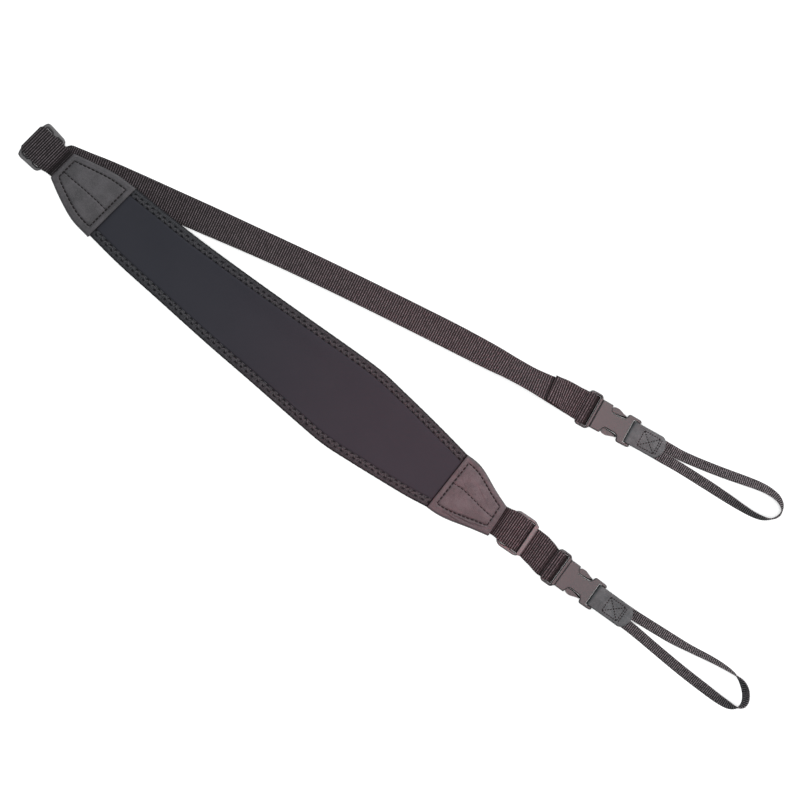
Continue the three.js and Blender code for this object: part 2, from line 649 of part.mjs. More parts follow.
// From the strand on the +Y side out to the far bend and back on the other strand. roll turns the
// band onto its edge at the bend; lift is its height above the table where the tab holds it.
const UPPER_LOOP = [
  { x: 178, y: 66.9, heading: 2, roll: 0, lift: 1.7 },
  { x: 196, y: 67.4, heading: 1.5, roll: 0, lift: 1.7 },
  { x: 203, y: 67.6, heading: 1.5, roll: 0, lift: 1.7 },
  { x: 213, y: 68.1, heading: 5, roll: -2, lift: 0.5 },
  { x: 225, y: 69.7, heading: 10, roll: -4, lift: 0 },
  { x: 240, y: 72.3, heading: 11, roll: -8, lift: 0 },
  { x: 255, y: 75.3, heading: 12, roll: -12, lift: 0 },
  { x: 270, y: 78.6, heading: 11, roll: -22, lift: 0 },
  { x: 281, y: 80.7, heading: 7, roll: -33, lift: 0 },
  { x: 290, y: 81.3, heading: -2, roll: -43, lift: 0 },
  { x: 297.5, y: 80.3, heading: -18, roll: -52, lift: 0 },
  { x: 302.6, y: 77.6, heading: -40, roll: -65, lift: 0 },
  { x: 305.5, y: 73.8, heading: -70, roll: -82, lift: 0 },
  { x: 305.9, y: 69.6, heading: -100, roll: -90, lift: 0 },
  { x: 304.2, y: 65.8, heading: -125, roll: -90, lift: 0 },
  { x: 300.6, y: 62.4, heading: -145, roll: -84, lift: 0 },
  { x: 295.4, y: 60.1, heading: -160, roll: -68, lift: 0 },
  { x: 288, y: 58.8, heading: -172, roll: -58, lift: 0 },
  { x: 279, y: 58.5, heading: -180, roll: -48, lift: 0 },
  { x: 264, y: 58.8, heading: -181, roll: -29, lift: 0 },
  { x: 245, y: 59.2, heading: -181, roll: -12, lift: 0 },
  { x: 224, y: 59.3, heading: -180, roll: -4, lift: 0 },
  { x: 213, y: 59.2, heading: -179, roll: 0, lift: 0.5 },
  { x: 203, y: 58.8, heading: -178, roll: 0, lift: 1.7 },
  { x: 196, y: 58.6, heading: -178, roll: 0, lift: 1.7 },
  { x: 178, y: 57.9, heading: -178, roll: 0, lift: 1.7 },
];
const LOWER_LOOP = [
  { x: 226, y: -59.4, heading: -2.5, roll: 0, lift: 1.7 },
  { x: 245, y: -60, heading: -2, roll: 0, lift: 1.7 },
  { x: 252, y: -60.2, heading: -1, roll: 0, lift: 1.7 },
  { x: 262, y: -60.2, heading: 0, roll: -1, lift: 0.5 },
  { x: 274, y: -60.1, heading: 0.5, roll: -6, lift: 0 },
  { x: 286, y: -59.9, heading: 2, roll: -22, lift: 0 },
  { x: 296, y: -59.4, heading: 4, roll: -40, lift: 0 },
  { x: 306, y: -58.6, heading: 5.5, roll: -49, lift: 0 },
  { x: 316, y: -57.6, heading: 5, roll: -54, lift: 0 },
  { x: 326, y: -56.9, heading: 2, roll: -60, lift: 0 },
  { x: 335, y: -56.8, heading: -2, roll: -69, lift: 0 },
  { x: 341, y: -57.1, heading: -5, roll: -79, lift: 0 },
  { x: 346, y: -57.9, heading: -14, roll: -94, lift: 0 },
  { x: 351.5, y: -59.8, heading: -28, roll: -118, lift: 0 },
  { x: 356.6, y: -63.4, heading: -45, roll: -130, lift: 0 },
  { x: 360, y: -67.8, heading: -60, roll: -131, lift: 0 },
  { x: 361.7, y: -72, heading: -80, roll: -126, lift: 0 },
  { x: 361.6, y: -75.4, heading: -103, roll: -115, lift: 0 },
  { x: 359.9, y: -78.1, heading: -130, roll: -94, lift: 0 },
  { x: 356.6, y: -79.9, heading: -158, roll: -68, lift: 0 },
  { x: 351.6, y: -81, heading: -175, roll: -44, lift: 0 },
  { x: 342, y: -81, heading: -183, roll: -26, lift: 0 },
  { x: 328, y: -79.8, heading: -185.5, roll: -12, lift: 0 },
  { x: 305, y: -77.4, heading: -186.5, roll: -3, lift: 0 },
  { x: 278, y: -73.7, heading: -188, roll: 0, lift: 0 },
  { x: 262, y: -71.3, heading: -188, roll: 0, lift: 0.5 },
  { x: 252, y: -70, heading: -185, roll: 0, lift: 1.7 },
  { x: 245, y: -69.4, heading: -184, roll: 0, lift: 1.7 },
  { x: 226, y: -68.4, heading: -182.5, roll: 0, lift: 1.7 },
];

function loop(name, table) {
  const { width, thickness } = LOOP_WEB;
  const rows = table.map((row) => ({ ...row, width, z: row.lift + restHeight(width, thickness, row.roll) }));
  return piece(name, facingOut(bandGeometry(rows, thickness, 2)), webbing());
}

// ---------------------------------------------------------------- assembly

function rigidGroup(spot, ...members) {
  const group = new THREE.Group();
  group.position.set(spot.x, spot.y, 0);
  group.rotation.z = radians(spot.heading);
  group.add(...members);
  return group;
}

const sling = new THREE.Group();
sling.add(
  shoulderPad(),
  edgeBinding('edge_binding_upper', 1),
  edgeBinding('edge_binding_lower', -1),
  leatherEnd('leather_end_fold', FOLD_LEATHER),
  leatherEnd('leather_end_buckle', SHORT_LEATHER),
  rigidGroup(FOLD_SLIDER, slider('fold_slider')),
  rigidGroup(SHORT_SLIDER, slider('short_slider')),
  longStrap(),
  shortStrap(),
  rigidGroup(UPPER_BUCKLE, maleHalf('upper_male_buckle'), femaleHalf('upper_female_buckle')),
  rigidGroup(LOWER_BUCKLE, maleHalf('lower_male_buckle'), femaleHalf('lower_female_buckle')),
  tab('upper_tab', UPPER_BUCKLE),
  tab('lower_tab', LOWER_BUCKLE),
  loop('upper_loop', UPPER_LOOP),
  loop('lower_loop', LOWER_LOOP),
);

// The middle of the lying sling's outline becomes the origin, on the table.
const outline = new THREE.Box3().setFromObject(sling);
const middle = outline.getCenter(new THREE.Vector3());
sling.position.set(-middle.x, -middle.y, -outline.min.z);

export default sling;
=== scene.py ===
import math

import bmesh
import bpy
import numpy as np
from mathutils import Matrix, Vector


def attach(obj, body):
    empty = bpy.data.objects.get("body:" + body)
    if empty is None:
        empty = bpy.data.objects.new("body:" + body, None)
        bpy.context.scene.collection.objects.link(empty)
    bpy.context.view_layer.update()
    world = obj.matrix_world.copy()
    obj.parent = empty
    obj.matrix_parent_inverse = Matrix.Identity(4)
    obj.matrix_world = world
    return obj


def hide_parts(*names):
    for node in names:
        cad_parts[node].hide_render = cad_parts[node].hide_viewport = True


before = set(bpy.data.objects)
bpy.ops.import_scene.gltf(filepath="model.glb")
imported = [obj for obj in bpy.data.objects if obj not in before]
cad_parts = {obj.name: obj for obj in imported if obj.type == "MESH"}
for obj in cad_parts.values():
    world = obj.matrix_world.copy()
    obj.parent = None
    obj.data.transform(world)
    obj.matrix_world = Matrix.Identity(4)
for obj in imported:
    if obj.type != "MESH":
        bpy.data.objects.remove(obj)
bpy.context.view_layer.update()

# ------------------------------------------------------------------ table, lamps and camera
# The sling lies on a plain white table under one broad soft lamp. Four smaller lamps light the
# sling alone, those at its loop end and its middle warmer. The camera looks straight down from
# far above, turned as the sling lies.

class Value:
    """A number or colour inside a material, so that sums and products of them read as such."""

    def __init__(self, finish, socket):
        self.finish, self.socket = finish, socket

    def output(self, name):
        """Another output of the node that this value comes from."""
        return Value(self.finish, self.socket.node.outputs[name])

    def maths(self, operation, *parts):
        return self.finish.node("ShaderNodeMath", {"operation": operation}, parts)

    def __add__(self, other):
        return self.maths("ADD", self, other)

    def __sub__(self, other):
        return self.maths("SUBTRACT", self, other)

    def __rsub__(self, other):
        return self.maths("SUBTRACT", other, self)

    def __mul__(self, other):
        return self.maths("MULTIPLY", self, other)

    __radd__ = __add__
    __rmul__ = __mul__

    def size(self):
        return self.maths("ABSOLUTE", self)

    def ridges(self, pitch, wave="COSINE"):
        """From 0 to 1 and back at every pitch: a cosine starts at 1, a sine halfway up."""
        return self.maths(wave, self * (2 * math.pi / pitch)) * 0.5 + 0.5


class Finish:
    """One material, made a node at a time."""

    def __init__(self, name):
        self.material = bpy.data.materials.new(name)
        self.material.use_nodes = True
        self.tree = self.material.node_tree
        self.tree.nodes.clear()

    def node(self, kind, settings=(), inputs=(), out=0):
        """Any node, with its settings by name and its inputs by name or in order."""
        made = self.tree.nodes.new(kind)
        for name, value in dict(settings).items():
            setattr(made, name, value)
        for name, value in (inputs.items() if isinstance(inputs, dict) else enumerate(inputs)):
            if isinstance(value, Value):
                self.tree.links.new(value.socket, made.inputs[name])
            else:
                made.inputs[name].default_value = value
        return Value(self, made.outputs[out]) if made.outputs else None

    def scaled(self, vector, factor):
        return self.node("ShaderNodeVectorMath", {"operation": "SCALE"}, {"Vector": vector, "Scale": factor})

    def place(self, mm=1.0):
        """The piece's own coordinates, in units of that many millimetres."""
        return self.scaled(self.node("ShaderNodeTexCoord", out="Object"), 1000 / mm)

    def noise(self, spot, scale, detail=2.0, roughness=0.5):
        return self.node("ShaderNodeTexNoise", inputs={
            "Vector": spot, "Scale": scale, "Detail": detail, "Roughness": roughness})

    def between(self, share, low, high):
        """A number that goes from low to high as share goes from 0 to 1."""
        return low + share * (high - low)

    def crisp(self, share, low, high):
        """0 where share is below low, 1 where it is above high, and smooth between them."""
        return self.node("ShaderNodeMapRange", {"interpolation_type": "SMOOTHSTEP"}, {
            "Value": share, "From Min": low, "From Max": high, "To Min": 0.0, "To Max": 1.0})

    def blend(self, share, first, second):
        """A colour that goes from first to second as share goes from 0 to 1."""
        first, second = (c if isinstance(c, Value) else (*c, 1) for c in (first, second))
        return self.node("ShaderNodeMix", {"data_type": "RGBA"}, {0: share, 6: first, 7: second}, 2)

    def painted_shade(self):
        """The shade painted on the surface, from 0 to 1, for how deep in a fold or a slot it lies."""
        return self.node("ShaderNodeAttribute", {"attribute_name": "painted_shade"}, out="Fac")

    def surface(self, height=None, depth_mm=0.1, **sockets):
        """The shader itself; height, from 0 to 1, is relief of that depth."""
        if height is not None:
            sockets["Normal"] = self.node("ShaderNodeBump", {}, {
                "Strength": 1.0, "Distance": depth_mm / 1000, "Height": height})
        sockets = {name.replace("_", " "): value for name, value in sockets.items()}
        self.node("ShaderNodeOutputMaterial", {}, {
            "Surface": self.node("ShaderNodeBsdfPrincipled", {}, sockets)})
        return self.material


TABLE_REACH = 40
TABLE_GLOW = 0.24            # lifts the faint shadows, as a lightbox under the table does
ROOM_LIGHT = 0.8
VIEW = {"turn": 32, "middle": (0.0001, -0.0132), "width": 0.64, "lens": 200, "sensor": 36}

scene = bpy.context.scene


def mesh_of(skin, name="lump"):
    mesh = bpy.data.meshes.new(name)
    skin.to_mesh(mesh)
    skin.free()
    return mesh


def in_scene(name, data):
    placed = bpy.data.objects.new(name, data)
    scene.collection.objects.link(placed)
    return placed


table = bmesh.new()
bmesh.ops.create_grid(table, x_segments=2, y_segments=2, size=TABLE_REACH)
table_top = in_scene("table_top", mesh_of(table, "table_top"))
white = Finish("white_table")
mottle = white.noise(white.place(400), 1.0)
table_top.data.materials.append(white.surface(
    Base_Color=white.blend(mottle, (0.93, 0.93, 0.93), (0.95, 0.95, 0.95)), Roughness=0.9,
    Specular_IOR_Level=0.2, Emission_Color=(1, 1, 1, 1), Emission_Strength=TABLE_GLOW))

studio = bpy.data.worlds.new("studio")
scene.world = studio
studio.use_nodes = True
room = studio.node_tree.nodes["Background"].inputs
room["Color"].default_value = (1, 1, 1, 1)
room["Strength"].default_value = ROOM_LIGHT
scene.view_settings.view_transform = "Standard"

# Each lamp: where it hangs and aims, its size in metres, its watts, its spread and its colour.
# All but the overhead lamp leave the table out.
LAMPS = {
    "overhead_lamp": ((0, 0, 4.6), (0, 0, 0), (3.2, 3.2), 130, 180, (0.97, 1, 1)),
    "loop_end_lamp": ((0.62, 0.5, 0.75), (0.2, 0.02, 0), (0.6, 0.6), 2.45, 50, (1, 0.72, 0.73)),
    "middle_lamp": ((0.07, -0.3, 0.9), (0.04, -0.04, 0), (0.25, 0.25), 0.19, 16, (1, 0.2, 0.25)),
    "fold_end_lamp": ((-0.4, 1.0, 0.9), (-0.2, 0, 0), (0.9, 0.9), 9, 180, (1, 1, 1)),
    "low_side_lamp": ((-0.1, 0.85, 0.2), (-0.1, 0, 0), (1.3, 0.3), 5.5, 180, (1, 1, 1)),
}
off_table = bpy.data.collections.new("lit_by_side_lamps")
off_table.objects.link(table_top)
off_table.collection_objects[0].light_linking.link_state = "EXCLUDE"
for name, (spot, aim, size, power, spread, colour) in LAMPS.items():
    lamp = bpy.data.lights.new(name, "AREA")
    lamp.shape, lamp.energy, lamp.color = "RECTANGLE", power, colour
    lamp.size, lamp.size_y = size
    lamp.spread = math.radians(spread)
    hung = in_scene(name, lamp)
    hung.location = spot
    hung.rotation_euler = (Vector(aim) - Vector(spot)).to_track_quat("-Z", "Y").to_euler()
    hung.visible_camera = False
    if name != "overhead_lamp":
        hung.light_linking.receiver_collection = off_table

lens = bpy.data.cameras.new("overhead_camera")
lens.lens, lens.sensor_width, lens.clip_end = VIEW["lens"], VIEW["sensor"], 100
camera = in_scene("overhead_camera", lens)
camera.location = (*VIEW["middle"], VIEW["width"] * VIEW["lens"] / VIEW["sensor"])
camera.rotation_euler = (0, 0, math.radians(VIEW["turn"]))
scene.camera = camera

# ------------------------------------------------------------------ shoulder pad
# A tapered pad of 5.6 mm neoprene faced with smooth black knit, widest near its buckle end. Its
# edges are squeezed thin under the binding and its ends run on as thin tongues in the leather.

# Lengths are in millimetres as the sling is drawn out; LIE brings a place to the sling's frame.
LIE = np.array([0.166, 0.089, 0.133])
UP = np.array([0, 0, 1])

# Across the pad: x, y, the way that it runs there, and its width with the binding on.
PAD_SECTIONS = [
    (-275, -7.3, -12.5, 52.6), (-243.5, -12.9, -8.5, 55.8), (-204.5, -18.5, -7, 58.4),
    (-154.3, -24.8, -7, 63.6), (-104, -30.3, -7, 68.4), (-53.1, -35.9, -7, 73.8), (-28.2, -38.7, -7, 75),
    (-2.7, -41.4, -7, 70.4), (22.8, -44, -7, 64.8), (47.6, -46.6, -6.5, 58.6), (66.4, -48.2, -6.3, 52.6),
]
PAD_LENGTH = 342
PAD_THICK = 5.6
PAD_OVER_STRAP = 1.9         # how high it lies on the returning strap
PAD_RISES = (160, 215)       # how far towards the fold it leaves the table, and is up
PAD_ROWS, EXTRA_ROWS = 97, np.array([0.0022, 0.005])
BINDING_WALL = 1.3           # the tape and its clearance, at each edge of the pad
# Corners across the pad: in from each edge, and over its middle as shares of what is left.
PAD_INSETS, PAD_MIDDLE = np.array([0, 0.5, 1.4, 3, 5, 5.6, 6.1, 6.6, 8.2, 11, 17]), np.arange(3, -4, -1) / 4
# Its share of the full thickness at the very edge, and what it gains inwards: from, to, gain.
PAD_EDGE, PAD_GAINS = 0.2, [(-0.4, 1.5, 0.26), (5.6, 6.6, 0.47), (7, 22, 0.07)]
# Where it enters the leather it is squeezed over the first millimetres, and in shade.
MOUTH_SQUEEZE, MOUTH_REACH, MOUTH_SHADE = 0.6, 5.5, (0.5, 1.9)
# The middle of each end, the way into the leather, its height, and the tongue's place across.
FOLD_MOUTH = {"x": -275, "y": -7.3, "heading": 167, "low": PAD_OVER_STRAP, "tongue": 1.0}
BUCKLE_MOUTH = {"x": 66.4, "y": -48.2, "heading": -6.3, "low": 0.0, "tongue": 0.5}
# The tongue's height over the rest, then along, width and thickness.
TONGUE_LOW, TONGUE = 1.7, [(17, 42.2, 2.6), (24, 37.2, 2.4)]
# How far the foam may swell, and what is held: its bound edges, and x beyond these at its ends.
PUFF = {"reach": 1.1, "edge": 8.4, "ends": (-271, 62.5)}


def smooth_rows(rows, u, by_distance=False):
    """Smooth values through a table's rows at u, 0 to 1 over the table; by_distance suits places
    that lie unevenly."""
    rows = np.asarray(rows, float)
    spans = len(rows) - 1
    at = np.clip(np.asarray(u, float), 0, 1) * spans
    first = np.minimum(at.astype(int), spans - 1)
    t = (at - first)[:, None]
    ends = np.vstack([2 * rows[0] - rows[1], rows, 2 * rows[-1] - rows[-2]])
    before, start, end, after = (ends[first + k] for k in range(4))
    gap_in, gap, gap_out = (np.linalg.norm(b - a, axis=1, keepdims=True) ** (0.5 if by_distance else 0)
                            for a, b in ((before, start), (start, end), (end, after)))
    leave = gap * ((start - before) / gap_in - (end - before) / (gap_in + gap)) + (end - start)
    arrive = gap * ((after - end) / gap_out - (after - start) / (gap + gap_out)) + (end - start)
    bend = 3 * (end - start) - 2 * leave - arrive
    return start + leave * t + bend * t ** 2 + (2 * (start - end) + leave + arrive) * t ** 3


def ease(low, high, value):
    """0 below low, 1 above high, and smooth between them."""
    t = np.clip((np.asarray(value, float) - low) / (high - low), 0, 1)
    return t * t * (3 - 2 * t)


def run_along(spots):
    """The distance run along a line of places, at each of them."""
    return np.concatenate([[0], np.cumsum(np.linalg.norm(np.diff(spots, axis=0), axis=1))])


def way(heading):
    """The directions along and across a heading, in plan."""
    turn = np.radians(np.asarray(heading, float))
    x, y = np.cos(turn), np.sin(turn)
    return np.stack([x, y, 0 * turn], axis=-1), np.stack([-y, x, 0 * turn], axis=-1)


def spot_on(group, along, across=0.0, z=0.0):
    """A place along and across a leather end, slider or buckle, and above the table."""
    forward, sideways = way(group["heading"])
    along, across, z = (np.asarray(part, float)[..., None] for part in (along, across, z))
    return np.array([group["x"], group["y"], 0]) + forward * along + sideways * across + UP * z


def swept(middle, side, up, across, height):
    """A section's places, across and in height, carried along a line of middles."""
    return middle[:, None, :] + side[:, None, :] * across[..., None] + up * height[..., None]


def pad_lift(x):
    """How high the pad lies: on the returning strap at the fold, and on the table elsewhere."""
    return PAD_OVER_STRAP * ease(*PAD_RISES, -np.asarray(x, float))


def rolled_skin(spots, marks, painted_shade=None):
    """A grid rolled into a tube. spots[i, j] is a corner's place in mm and marks[i, j] its mark
    in the map that the weave follows; the last column lies on the first. The last argument is
    the shade painted on each row, from 0 to 1, for how deep in a fold the skin lies there."""
    lengthwise, round_it = spots.shape[0] - 1, spots.shape[1] - 1
    skin = bmesh.new()
    bmesh.ops.create_grid(skin, x_segments=lengthwise, y_segments=round_it, size=0.5)
    weave = skin.loops.layers.uv.new("weave")
    # painted shade, a number for each corner
    painted_shade_layer = skin.verts.layers.float.new("painted_shade")
    step = {corner: (round((corner.co.x + 0.5) * lengthwise), round((corner.co.y + 0.5) * round_it))
            for corner in skin.verts}
    for face in skin.faces:
        for corner in face.loops:
            corner[weave].uv = marks[step[corner.vert]]
    placed = (spots + LIE) / 1000
    for corner, where in step.items():
        corner.co = placed[where]
        corner[painted_shade_layer] = 0 if painted_shade is None else painted_shade[where[0]]
    bmesh.ops.remove_doubles(skin, verts=skin.verts, dist=1e-7)
    return skin


def finished_piece(name, skin, material, slot, *nodes):
    piece = in_scene(name, mesh_of(skin, name))
    piece.data.shade_smooth()
    piece.data.materials.append(material)
    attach(piece, "root")
    if nodes:
        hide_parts(*nodes)
    return piece


def pad_sections(u):
    """x, y, heading and width of the bound pad, at u from the fold's leather to the other."""
    return smooth_rows(PAD_SECTIONS, u).T


def mouth_squeeze(u):
    """The pad and its binding thin out where they enter the leather at either end."""
    from_end = PAD_LENGTH * np.minimum(u, 1 - u)
    return MOUTH_SQUEEZE + (1 - MOUTH_SQUEEZE) * ease(0, MOUTH_REACH, from_end)


def mouth_shade(distance):
    """1 where the pad and its tape enter the leather at either end, falling to 0 beside it."""
    return 1 - ease(*MOUTH_SHADE, np.minimum(distance, distance[-1] - distance))


def tongue_rows(mouth, turned=0):
    """Sections of the pad inside the leather: x, y, heading, width, lowest and highest."""
    low = mouth["low"] + TONGUE_LOW
    return [(*spot_on(mouth, along, mouth["tongue"])[:2], mouth["heading"] - turned, width, low, low + thick)
            for along, width, thick in TONGUE]


def pad_skin():
    u = np.unique(np.concatenate([np.linspace(0, 1, PAD_ROWS), EXTRA_ROWS, 1 - EXTRA_ROWS]))
    x, y, heading, width = pad_sections(u)
    middle = pad_lift(x) + PAD_THICK / 2
    half = PAD_THICK / 2 * mouth_squeeze(u)
    whole = np.stack([x, y, heading, width - 2 * BINDING_WALL, middle - half, middle + half], axis=1)
    rows = np.vstack([tongue_rows(FOLD_MOUTH, 180)[::-1], whole, tongue_rows(BUCKLE_MOUTH)])
    x, y, heading, wide, low, high = rows.T[..., None]
    reach = np.hstack([wide / 2 - PAD_INSETS, (wide / 2 - PAD_INSETS[-1]) * PAD_MIDDLE,
                       PAD_INSETS[::-1] - wide / 2])
    edge = wide / 2 - np.abs(reach)
    share = PAD_EDGE + sum(gain * ease(start, end, edge) for start, end, gain in PAD_GAINS)
    half, centre = (high - low) / 2 * share, (high + low) / 2
    height = np.hstack([centre + half, (centre - half)[:, ::-1], (centre + half)[:, :1]])
    spots = swept(np.hstack([x, y, 0 * x]), way(rows[:, 2])[1], UP,
                  np.hstack([reach, reach[:, ::-1], reach[:, :1]]), height)
    # painted shade: full in the tongues inside the leather, fading out beside the mouths
    in_leather = np.ones(len(TONGUE))
    painted_shade = np.concatenate([in_leather, mouth_shade(PAD_LENGTH * u), in_leather])
    return rolled_skin(spots, spots[..., :2], painted_shade)


def puff_up(piece, held, reach_mm, pressure=4, steps=20):
    """Fills a held-edge skin with pressure, as foam does, and says how far each corner moves."""
    start = np.array([corner.co for corner in piece.data.vertices])
    group = piece.vertex_groups.new(name="held")
    group.add([int(i) for i in np.flatnonzero(held)], 1.0, "REPLACE")
    cloth = piece.modifiers.new("filling", "CLOTH")
    cloth.settings.vertex_group_mass = "held"
    cloth.settings.use_pressure = True
    cloth.settings.uniform_pressure_force = pressure
    cloth.settings.effector_weights.gravity = 0
    for step in range(1, steps + 1):
        scene.frame_set(step)
    filled = piece.evaluated_get(bpy.context.evaluated_depsgraph_get())
    moved = np.array([corner.co for corner in filled.data.vertices]) - start
    scene.frame_set(1)
    piece.modifiers.remove(cloth)
    far = np.linalg.norm(moved, axis=1, keepdims=True)
    moved *= np.minimum(1, reach_mm / 1000 / np.maximum(far, 1e-9))
    piece.vertex_groups.clear()
    return moved


# Smooth knit over foam: fine ribs of loops, slightly uneven, and clouded here and there.
WALE, COURSE, KNIT_SLANT = 0.85, 0.7, math.radians(7)
knit = Finish("pad_knit")
knit_place = knit.place()
slanted = knit.node("ShaderNodeMapping", {}, {"Vector": knit_place, "Rotation": (0, 0, KNIT_SLANT)})
along_pad = knit.node("ShaderNodeSeparateXYZ", {}, [slanted])
across_pad = along_pad.output("Y")
loops_of_knit = across_pad.ridges(WALE, "SINE") * 0.6 + along_pad.ridges(COURSE, "SINE") * 0.4
cloud = knit.noise(knit_place, 0.035, 3.0)
fuzz = knit.noise(knit_place, 2.2, 3.0, 0.6)
pad_shade = knit.blend(loops_of_knit * 0.5 + fuzz * 0.5, (0.0098, 0.0111, 0.0142), (0.0158, 0.0172, 0.0216))
pad_shade = knit.blend(knit.between(cloud, 0.0, 0.35), pad_shade, (0.0184, 0.0193, 0.0232))
# painted shade: near black where the pad lies in the leather
pad_shade = knit.blend(knit.painted_shade() * 0.85, pad_shade, (0.001, 0.001, 0.001))
pad_material = knit.surface(
    height=loops_of_knit * 0.7 + fuzz * 0.3, depth_mm=0.06, Base_Color=pad_shade,
    Roughness=knit.between(fuzz, 0.86, 0.98), Specular_IOR_Level=0.08)

pad = finished_piece("pad", pad_skin(), pad_material, "neoprene", "shoulder_pad")
start = np.array([corner.co for corner in pad.data.vertices])
x, y, _ = (start * 1000 - LIE).T
first, last = PAD_SECTIONS[0][0], PAD_SECTIONS[-1][0]
_, middle, heading, width = pad_sections(np.clip((x - first) / (last - first), 0, 1))
edge = width / 2 - BINDING_WALL - np.abs(y - middle) * np.cos(np.radians(heading))
held = (edge < PUFF["edge"]) | (x < PUFF["ends"][0]) | (x > PUFF["ends"][1])
swollen = start + puff_up(pad, held, PUFF["reach"])
lowest = (pad_lift(x) + LIE[2]) / 1000
swollen[:, 2] = np.maximum(swollen[:, 2], np.minimum(lowest, start[:, 2]))
pad.data.vertices.foreach_set("co", swollen.astype(np.float32).ravel())
pad.data.update()
softened = pad.modifiers.new("softened", "SUBSURF")
softened.levels = softened.render_levels = 1

# ------------------------------------------------------------------ edge bindings
# Black stretch tape folded over each long edge of the pad and sewn through with a zigzag of
# black thread, which draws the tape down at every hole.

TAPE = {"width": 7.4, "wall": 1.0, "height": 5.2, "corner": 2.1, "bulge": 0.15, "rounding": 0.08}
# The corners of its section, in from the pad's edge: on top, underneath, and the one inside.
TAPE_TOP, TAPE_UNDER, TAPE_INSIDE = (6.8, 6.2, 5.4, 4.7, 4.0, 3.2), (3.0, 4.4, 5.7, 6.6), 4.4
TAPE_FACE = 2.0              # its outer faces lie further than this from the pad's middle
TAPE_RIB = 1.45
ZIGZAG = {"pitch": 5.8, "rows": (4.0, 6.8), "wander": 0.4, "share": 0.74, "width": 0.75,
          "height": 0.45, "sunk": 0.04}
# The thread draws the tape down round each hole, by a share of its height, and draws its edge in.
DRAWN, DRAWN_REACH, SCALLOP, SCALLOP_REACH = 0.1, 0.7, 0.05, 1.2
TAPE_STEPS = 8               # along the tape from hole to hole


def hump(value, width):
    """1 where value is 0, falling smoothly to nothing within about twice the width."""
    return np.exp(-(value / width) ** 2)


def arc(centre, radius, first, last, steps):
    """Points on an arc as (inset, height), at angles in degrees."""
    angles = np.radians(np.linspace(first, last, steps))
    return [(centre[0] + radius * math.cos(a), centre[1] + radius * math.sin(a)) for a in angles]


def tape_outline():
    """The folded tape in section: in from the outer edge, and up from the pad's middle."""
    half, wall, outer, width = TAPE["height"] / 2, TAPE["wall"], TAPE["corner"], TAPE["width"]
    bulge, rounding = width + TAPE["bulge"], TAPE["rounding"]
    inner = outer - wall
    points = [(width, half - wall), (bulge, half - wall / 2), (width, half - rounding)]
    points += [(inset, half) for inset in TAPE_TOP]
    points += arc((outer, half - outer), outer, 90, 180, 6)
    points += arc((outer, outer - half), outer, 180, 270, 6)
    points += [(inset, -half) for inset in TAPE_UNDER]
    points += [(width, rounding - half), (bulge, wall / 2 - half), (width, wall - half)]
    points += [(TAPE_INSIDE, wall - half)]
    points += arc((outer, outer - half), inner, 270, 180, 4)
    points += arc((outer, half - outer), inner, 180, 90, 4)
    points += [(TAPE_INSIDE, half - wall), points[0]]
    return np.array(points)


def binding_frame(u, side):
    """The outer edge of the bound pad at u: its place, the way in from it, and its squeeze."""
    x, y, heading, width = pad_sections(u)
    inward = -side * way(heading)[1]
    edge = np.stack([x, y, pad_lift(x) + PAD_THICK / 2], axis=1) - inward * width[:, None] / 2
    return edge, inward, mouth_squeeze(u)


def edge_run(side, count=2001):
    """u along the pad and the distance run along one bound edge."""
    u = np.linspace(0, 1, count)
    return u, run_along(binding_frame(u, side)[0])


def close_ends(skin):
    rims = [edge for edge in skin.edges if edge.is_boundary]
    bmesh.ops.holes_fill(skin, edges=rims, sides=0)
    bmesh.ops.recalc_face_normals(skin, faces=skin.faces)


def binding_skin(side):
    inset, height = tape_outline().T
    u, run = edge_run(side)
    pitch = ZIGZAG["pitch"]
    distance = np.linspace(0, run[-1], round(run[-1] / pitch * TAPE_STEPS) + 1)
    edge, inward, squeeze = binding_frame(np.interp(distance, run, u), side)
    dip = np.ones((len(distance), len(inset)))
    for k, row in enumerate(ZIGZAG["rows"]):
        at_hole = (0.5 + 0.5 * np.cos(2 * np.pi * (distance / pitch - k / 2))) ** 3
        near_row = hump(inset - row, DRAWN_REACH) * (np.abs(height) > TAPE_FACE)
        dip -= DRAWN * at_hole[:, None] * near_row
    drawn_in = SCALLOP * (1 + np.cos(2 * np.pi * distance / pitch))[:, None] * (inset < SCALLOP_REACH)
    spots = swept(edge, inward, UP, inset - drawn_in, height * squeeze[:, None] * dip)
    marks = np.stack(np.broadcast_arrays(distance[:, None], inset), axis=-1)
    # painted shade where the tape enters the leather at either end
    skin = rolled_skin(spots, marks, mouth_shade(distance))
    close_ends(skin)
    return skin


def join_in(skin, lump):
    """Adds a closed lump to a skin."""
    bmesh.ops.recalc_face_normals(lump, faces=lump.faces)
    joined = mesh_of(lump)
    skin.from_mesh(joined)
    bpy.data.meshes.remove(joined)


def stitch_row(skin, holes, face, thread, at_once=20):
    """A row of stitches, each a bead of thread lying from hole to hole, half sunk, on the upper
    side where face is 1 and the lower where it is -1."""
    for first in range(0, len(holes) - 1, at_once):
        row = bmesh.new()
        for start, end in zip(holes[first:first + at_once], holes[first + 1:first + at_once + 1]):
            run = Vector(end - start) / 1000
            forward = run.normalized()
            side = Vector((0, 0, face)).cross(forward).normalized()
            axes = Matrix((forward.cross(side), side, -forward)).transposed().to_4x4()
            size = Matrix.Diagonal((thread["height"] / 2000, thread["width"] / 2000,
                                    run.length * thread["share"] / 2, 1))
            spot = Matrix.Translation(Vector((start + end) / 2 + LIE) / 1000)
            bmesh.ops.create_uvsphere(row, u_segments=7, v_segments=5, radius=1, matrix=spot @ axes @ size)
        join_in(skin, row)


